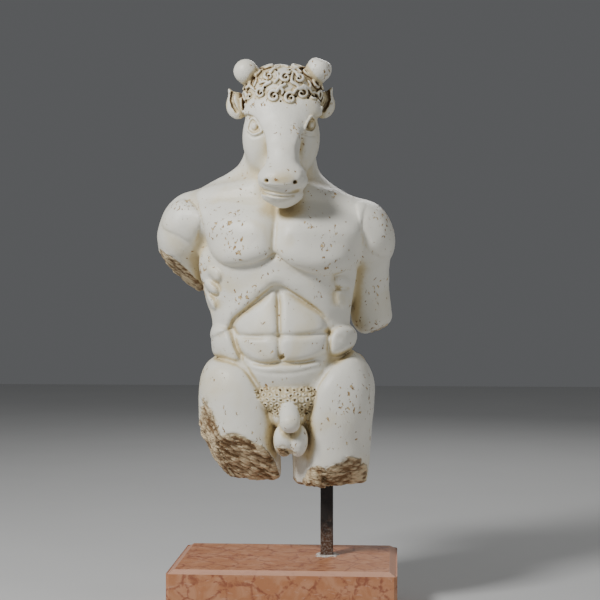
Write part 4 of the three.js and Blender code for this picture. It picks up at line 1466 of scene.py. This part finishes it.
    def carve_eye(self, middle: Point, upper: Path, lower: Path, fold: Path) -> None:
        """An almond eye between two lids, and a fold of skin under them.

        Args:
            middle: The eyeball's place, x and z.
            upper: Points along the upper lid.
            lower: Points along the lower lid.
            fold: Points along the fold.
        """
        x, z = middle
        place = self.clay.skin(x, z)
        self.clay.carve(6, ellipsoid(place - [0, 3, 0], [12, 8, 12]))
        self.clay.add(1.5, ellipsoid(place + [-0.05 * x, 6, 0], [8, 9, 10]))
        self.clay.cord(1.5, 2.4, upper, 1.5)
        self.clay.cord(1.5, 2.0, lower, 0.5)
        self.clay.groove(1.6, 2.6, fold, -10)

    def carve_hair(self) -> None:
        """A cap of hair, with curls over the brow, locks that run down to them and plainer curls behind."""
        centre, radii = np.array([5, -8, 786]), np.array([78, 72, 58])
        self.clay.add(3, broken(ellipsoid(centre, radii - 3), [0, -78, 764], [0, -0.35, -0.94], 6))
        curls = (
            (-59, 776, 8, 1),
            (-35, 781, 11, 1),
            (-8, 774, 13, 1),
            (24, 770, 13, 1),
            (47, 780, 12, -1),
            (68, 776, 10, -1),
            (-20, 815, 11, 1),
            (14, 811, 12, 1),
            (41, 809, 10, -1),
        )
        locks = [
            (3.4, ((-60, 800), (-52, 792), (-46, 786))),
            (3.4, ((-46, 818), (-44, 806), (-48, 796))),
            (3.6, ((-38, 826), (-28, 832), (-14, 834))),
            (3.6, ((-8, 836), (4, 838), (17, 834))),
            (3.6, ((24, 834), (34, 830), (43, 822))),
            (3.0, ((-36, 800), (-26, 802), (-14, 800))),
            (3.0, ((-6, 800), (0, 808), (-2, 820))),
            (3.0, ((30, 798), (26, 804), (28, 820))),
            (3.0, ((58, 804), (62, 796), (60, 790))),
            (3.0, ((6, 788), (10, 782), (8, 776))),
            (3.2, ((-64, 790), (-70, 780), (-69, 768))),
            (3.2, ((-66, 760), (-72, 752), (-70, 744))),
            (3.2, ((-78, 776), (-78, 764), (-76, 752))),
            (3.2, ((78, 790), (84, 778), (80, 766))),
            (3.0, ((76, 766), (82, 760), (84, 750))),
        ]
        for x, z, reach, hand in curls:
            turns = np.radians(50 + 38 * np.arange(11))
            far = np.where(turns < 5.2, reach - 3.4, (reach - 3.4) * (1 - 0.42 * (turns - 5.2)))
            path = [(x + hand * r * math.cos(a), z + r * math.sin(a)) for a, r in zip(turns, far)]
            tail = [(x + hand * (reach + 9), z + reach + 8), (x + hand * (reach - 2), z + reach + 2)]
            locks.append((3.5, tail + path if reach > 8 else path))
        holes = [self.clay.skin(x + 0.2 * reach * hand, z - 0.1 * reach) for x, z, reach, hand in curls]
        gaps = (
            (-26, 790), (9, 797), (-4, 826), (22, 826), (-48, 812), (6, 762), (-70, 762), (34, 772),
            (58, 770),
        )
        drilled = [self.clay.skin(x, z) for x, z in gaps]
        ropes = [
            (thick, [self.clay.skin(x, z, 2) for x, z in curve(path, steps=3)])
            for thick, path in locks
        ]
        for thick, rope in ropes:
            radii_along = np.linspace(thick, 0.78 * thick, len(rope))
            for start, end, first, last in zip(rope, rope[1:], radii_along, radii_along[1:]):
                self.clay.add(1, limb(start, end, first, last))
        for hole in holes + drilled:
            self.clay.carve(1, limb(hole - [0, 10, 0], hole + [0, 6, 0], 2.0, 1.6))
        # Plainer curls round the sides and the back
        for row in range(4):
            tilt = math.radians(-6 + 22 * row)
            count = round(13 * math.cos(tilt)) + 1
            for n in range(count):
                turn = math.radians(28 + (n + 0.5 * (row % 2)) * 304 / count)
                across = np.array(
                    [math.sin(turn) * math.cos(tilt), -math.cos(turn) * math.cos(tilt), math.sin(tilt)]
                )
                if across[1] > -0.55:
                    self.clay.add(2, ring(centre + radii * across, 8, 3.6, list(across / radii * 60)))

    def relief(self, points: Values) -> tuple[Values, dict[str, Values]]:
        """The marks of tools, breaks and wear.

        Args:
            points: Places on the surface, in parts.

        Returns:
            How far each place moves outwards, in parts, and the marks there: the share of broken stone, how
            high it stands on a ridge, how worn it is, and how deep it lies between the curls of the groin,
            where shade is painted.
        """
        share, ridge, move = (np.zeros(len(points)) for _ in range(3))
        for face in self.breaks:
            facing = unit(np.array(face.facing))
            away = points - face.point
            near = np.flatnonzero((np.linalg.norm(away, axis=1) < face.reach) & (away @ facing > -18))
            away, found = away[near], points[near]
            on = smoothstep((away @ facing) + 5 * rough(found, 24, 7), -10, -3)
            along = unit(np.cross(facing, [0.45, -0.6, 0.66]))
            marks = np.stack([away @ along * 0.45, away @ np.cross(facing, along), away @ facing * 0.3], 1)
            middle, chance = chips(marks, face.stroke, 3)
            height = 0.75 - 0.9 * middle + 0.5 * (chance - 0.5) + 0.5 * rough(found, 26, 11)
            move[near] += on * face.depth * (height - 0.6)
            ridge[near] = np.where(on > 0.01, height, ridge[near])
            share[near] = np.maximum(share[near], on)
        worn = np.zeros(len(points))
        for x, z, reach in self.worn_places:
            away = np.hypot(points[:, 0] - x, (points[:, 2] - z) * 0.8) + 200 * (points[:, 1] > 60)
            worn = np.maximum(worn, np.exp(-((away / reach) ** 2)))
        uneven = 0.5 * rough(points, 30, 21) + 0.25 * rough(points, 9, 24)
        patch, rise = self.curls(points)
        marks = {"broken": share, "ridge": ridge, "worn": worn, "curl": patch * (1.2 - rise)}
        return move + (1 - share) * uneven + patch * (3.6 * rise - 1), marks

    def curls(self, points: Values) -> tuple[Values, Values]:
        """The short curls of the groin, as rows of drilled rings.

        Args:
            points: Places on the surface, in parts.

        Returns:
            The share of the patch at each place, and how high it stands on a curl.
        """
        x, z = points[:, 0] + 4 * noise(points, 21, 31), points[:, 2] + 3 * noise(points, 19, 33)
        line = curve(self.curl_patch, True)
        near = (points[:, 1] < -40) & (points[:, 1] > -99) & (z > 136) & (z < 214)
        patch = np.zeros(len(points))
        patch[near] = np.clip(away_from(line, x[near], z[near]) / 2.5, 0, 1) * inside(line, x[near], z[near])
        wide, high = self.curl_size
        row = np.round(z / high)
        column = np.round(x / wide + 0.5 * (row % 2))
        chance = scatter(np.stack([column, row, 0 * row], 1), 41)
        u = (x / wide + 0.5 * (row % 2) - column) * wide
        v = (z / high - row) * high
        away = np.hypot(u * 0.84, v)
        ring_height = np.exp(-(((away - 2.5 - chance) / 2.0) ** 2)) * (0.75 + 0.25 * chance)
        open_side = (u * np.cos(9 * chance) + v * np.sin(9 * chance)) / np.maximum(away, 0.5)
        hole = np.exp(-(((u - 3 * (chance - 0.5)) ** 2 + v**2) / 1.6**2))
        return patch, ring_height * (1 - 0.55 * smoothstep(open_side, 0.6, 1)) - 0.8 * hole * (chance > 0.3)

    def build(self) -> Piece:
        """Carves the figure and gives it its mesh.

        Returns:
            The statue.
        """
        for carve in (
            self.carve_trunk,
            self.carve_back,
            self.carve_ribs,
            self.carve_belly,
            self.carve_chest,
            self.carve_legs,
            self.carve_groin,
            self.carve_arms,
            self.carve_head,
            self.carve_hair,
        ):
            carve()
        points, faces = self.clay.surface()
        log.info("clay surface: %d points, %d faces", len(points), len(faces))
        piece = mesh_object("statue_carved", self.placed(points), faces)
        divide(piece, self.fine(points)[faces].any(1))
        points, normals = self.places(piece)
        move, _ = self.relief(points)
        points += normals * move[:, None]
        move_points(piece, self.placed(points))
        thin(piece, self.triangles)
        bore(piece, *self.socket())
        self.paint(piece)
        return piece

    def fine(self, points: Values) -> Values:
        """Whether the relief at each place is finer than the clay's lattice."""
        _, marks = self.relief(points)
        return (marks["broken"] > 0.02) | (marks["curl"] > 0)

    def socket(self) -> tuple[Point, Point]:
        """The corners of the hole for the bar, with its clearance."""
        x, y, z = self.bar_place
        half = self.bar_side / 2 + self.clearance
        return (x - half, y - half, z - 0.03), (x + half, y + half, z + self.bar_in_thigh + self.clearance)

    def places(self, piece: Piece) -> tuple[Values, Values]:
        """The places of the mesh's points, in parts, and the surface's direction at each."""
        points, normals = read_points(piece)
        scale = self.height / self.parts
        return (points - np.array(self.bar_place)) / scale + [*self.bar_entry, 0], normals

    def placed(self, points: Values) -> Values:
        """Turns places in parts into places in the room, in metres."""
        scale = self.height / self.parts
        entry = np.array([*self.bar_entry, 0])
        return (points - entry) * scale + np.array(self.bar_place)

    def paint(self, piece: Piece) -> None:
        """Marks on the mesh where dirt gathers and shade is painted, and where the stone is broken.

        Args:
            piece: The statue.
        """
        mesh = piece.data
        points, normals = self.places(piece)
        _, marks = self.relief(points)
        # Dirt and painted shade: darker in the low places between the groin's curls, wherever little open
        # space lies round a place, and more so in the hair
        dirt_and_shade = 0.8 * marks.pop("curl")
        for reach, weight in self.dirt_and_shade_reaches:
            open_share = self.clay.sample(points + normals * reach) / reach
            dirt_and_shade += weight * np.clip(1 - open_share, 0, 1)
        dirt_and_shade *= 1 + self.more_dirt_and_shade * smoothstep(points[:, 2], *self.dirt_and_shade_above)
        for name, values in {"dirt_and_shade": dirt_and_shade, **marks}.items():
            mark = mesh.attributes.new(name, "FLOAT", "POINT")
            mark.data.foreach_set("value", values.astype(np.float32))


@dataclass
class Stand:
    """The iron bar, the mortar round its foot and the marble plinth. Sizes are in metres.

    Attributes:
        width: The plinth's.
        depth: The plinth's, from front to back.
        height: The plinth's.
        chamfer: Along the plinth's upper edges.
        edge_cut: Down its upright edges.
        worn_edge: The rounding of all the plinth's edges.
        bar: The bar's side.
        bar_edge: The rounding of its corners.
        bar_at: The bar's axis.
        bar_low: Where the bar ends in the plinth.
        bar_high: Where it ends in the thigh.
        clearance: Round the bar.
        spread: How far the mortar reaches from the bar.
        thick: The mortar's thickness at the bar.
    """

    width: float = 440 * MM
    depth: float = 300 * MM
    height: float = 110 * MM
    chamfer: float = 9 * MM
    edge_cut: float = 6 * MM
    worn_edge: float = 0.7 * MM
    bar: float = 25 * MM
    bar_edge: float = 2 * MM
    bar_at: tuple[float, float] = (79 * MM, 24 * MM)
    bar_low: float = 40 * MM
    bar_high: float = 368 * MM
    clearance: float = 0.4 * MM
    spread: float = 13 * MM
    thick: float = 3 * MM

    def hole(self, low: float, high: float) -> tuple[Point, Point]:
        """Corners of the hole for the bar between two levels."""
        x, y = self.bar_at
        half = self.bar / 2 + self.clearance
        return (x - half, y - half, low), (x + half, y + half, high)

    def build_plinth(self) -> Piece:
        """A block with cut edges, honed by hand so that no edge is quite sharp."""
        wide, deep = self.width / 2, self.depth / 2
        made = block("plinth_block", (-wide, -deep, 0), (wide, deep, self.height))
        cut_edges(made, lambda a, b: abs(a.x - b.x) < NEAR and abs(a.y - b.y) < NEAR, self.edge_cut)
        top = self.height - NEAR
        cut_edges(made, lambda a, b: a.z > top and b.z > top, self.chamfer)
        cut_edges(made, lambda a, b: a.z > NEAR or b.z > NEAR, self.worn_edge, 2)
        bore(made, *self.hole(self.bar_low, self.height + 0.01))
        mesh = made.data
        # Painted light: the slanted faces of the upper edges, which face up to the lamps, are marked to be
        # painted paler
        pale_fleck_and_lit_edge = mesh.attributes.new("pale_fleck_and_lit_edge", "FLOAT", "FACE")
        slanted = [
            float(0.1 < face.normal.z < 0.95 and face.center.z > 0.5 * self.height)
            for face in mesh.polygons
        ]
        pale_fleck_and_lit_edge.data.foreach_set("value", slanted)
        mesh.materials.append(RedMarble().build())
        return made

    def build_bar(self) -> Piece:
        """A square bar with hammered faces and worn corners."""
        x, y = self.bar_at
        half = self.bar / 2 - 0.2 * MM
        made = block("iron_bar", (x - half, y - half, self.bar_low), (x + half, y + half, self.bar_high))
        cut_edges(made, lambda a, b: abs(a.z - b.z) > NEAR, self.bar_edge, 3)
        only(made)
        bpy.ops.object.mode_set(mode="EDIT")
        bpy.ops.mesh.select_mode(type="EDGE")
        bpy.ops.mesh.select_all(action="SELECT")
        bpy.ops.mesh.subdivide(number_cuts=5)
        bpy.ops.mesh.subdivide(number_cuts=5)
        bpy.ops.object.mode_set(mode="OBJECT")
        roughen(made, 0.25 * MM, 14 * MM, 5)
        bpy.ops.object.shade_smooth_by_angle(angle=math.radians(40))
        made.data.materials.append(Iron().build())
        return made

    def build_mortar(self) -> Piece:
        """A thin hand-spread patch, thickest against the bar and feathered out on the plinth."""
        x, y = self.bar_at
        rings, spokes = 7, 64
        points = []
        for ring_number in range(rings):
            share = ring_number / (rings - 1)
            for n in range(spokes):
                angle = 2 * math.pi * n / spokes
                square = 1 / max(abs(math.cos(angle)), abs(math.sin(angle)))
                uneven = 0.78 + 0.2 * math.sin(3 * angle + 1) + 0.15 * math.sin(7 * angle)
                start = (self.bar / 2 + self.clearance) * square
                reach = start + share * (self.bar / 2 * square + self.spread * uneven - start)
                lift = self.thick * (1 - share**2) * (0.8 + 0.2 * math.sin(5 * angle + 9 * share))
                points.append((x + reach * math.cos(angle), y + reach * math.sin(angle), self.height + lift))
        inner_foot = [(*points[n][:2], self.height) for n in range(spokes)]
        points += inner_foot
        faces = []
        order = [*range(rings), -1]
        for a, b in zip(order, [*order[1:], order[0]]):
            first, second = (spokes * (rings if v < 0 else v) for v in (a, b))
            for n in range(spokes):
                m = (n + 1) % spokes
                faces.append((first + n, second + n, second + m, first + m))
        made = mesh_object("mortar_patch", np.array(points), np.array(faces))
        made.data.materials.append(Mortar().build())
        return made

    def build(self) -> None:
        """Makes the three pieces and puts them in place of their solids."""
        pieces = (
            (self.build_plinth(), "plinth", "red_marble"),
            (self.build_bar(), "support_rod", "iron"),
            (self.build_mortar(), "rod_mortar", "mortar"),
        )
        for made, solid, slot in pieces:
            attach(made, "root")
            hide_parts(solid)
            log.info("%s: %d faces", solid, len(made.data.polygons))


@dataclass
class Studio:
    """Floor, light and camera.

    Attributes:
        eye: The camera's place, in metres.
        reach: Its focal length in picture points.
        width: The picture's width in points.
        level: The picture point, across and down, that the depth lines run to.
        sensor: The width of the camera's film, in millimetres.
        aim: Where the lights point.
        sky: The colour of the light from all round.
        sky_strength: How strong that is.
        lights: Name, place, width and power of each lamp.
    """

    eye: tuple[float, float, float] = (0.217, -2.838, 0.666)
    reach: float = 1431
    width: float = 600
    level: tuple[float, float] = (396, 278)
    sensor: float = 36
    aim: tuple[float, float, float] = (0, 0, 0.7)
    sky: tuple[float, float, float, float] = (0.8, 0.82, 0.85, 1)
    sky_strength: float = 0.13
    lights: tuple[tuple[str, tuple[float, float, float], float, float], ...] = (
        ("key", (-1.6, -1.8, 2.5), 0.6, 105),
        ("fill", (2.5, -0.9, 1.3), 0.9, 12),
        ("back", (0.6, 2.6, 2.4), 1.4, 20),
    )

    def place_camera(self) -> None:
        """Puts the camera where the photographer stood."""
        lens = bpy.data.cameras.new("camera")
        lens.sensor_width = self.sensor
        lens.lens = self.sensor * self.reach / self.width
        yaw = math.atan((self.level[0] - self.width / 2) / self.reach)
        pitch = math.atan((self.width / 2 - self.level[1]) / self.reach)
        forward = Vector(
            (-math.sin(yaw) * math.cos(pitch), math.cos(yaw) * math.cos(pitch), -math.sin(pitch))
        )
        camera = bpy.data.objects.new("camera", lens)
        camera.location = self.eye
        camera.rotation_euler = forward.to_track_quat("-Z", "Y").to_euler()
        bpy.context.scene.collection.objects.link(camera)
        bpy.context.scene.camera = camera

    def place_light(self, name: str, place: tuple[float, float, float], size: float, power: float) -> None:
        """A soft square light aimed at the statue's chest.

        Args:
            name: The light's name.
            place: Its place.
            size: Its width, in metres.
            power: In watts.
        """
        light = bpy.data.lights.new(name, "AREA")
        light.size = size
        light.energy = power
        lamp = bpy.data.objects.new(name, light)
        lamp.location = place
        lamp.rotation_euler = (Vector(self.aim) - Vector(place)).to_track_quat("-Z", "Y").to_euler()
        bpy.context.scene.collection.objects.link(lamp)

    def build(self) -> None:
        """Makes the floor, the lights and the camera."""
        self.place_camera()
        bpy.ops.object.select_all(action="DESELECT")
        bpy.ops.mesh.primitive_plane_add(size=12, location=(0, 0, 0))
        floor = bpy.context.object
        floor.name = "floor"
        floor.data.materials.append(Floor().build())
        world = bpy.data.worlds.new("studio")
        bpy.context.scene.world = world
        world.use_nodes = True
        world.node_tree.nodes["Background"].inputs["Color"].default_value = self.sky
        world.node_tree.nodes["Background"].inputs["Strength"].default_value = self.sky_strength
        for light in self.lights:
            self.place_light(*light)


def main() -> None:
    """Builds the statue, its stand and the studio."""
    logging.basicConfig(level=logging.INFO, format="%(message)s")
    Studio().build()
    Stand().build()
    torso = Statue().build()
    torso.data.materials.append(WhiteMarble().build())
    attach(torso, "root")
    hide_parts("statue")
    log.info("statue: %d faces", len(torso.data.polygons))


if __name__ == "__main__":
    main()
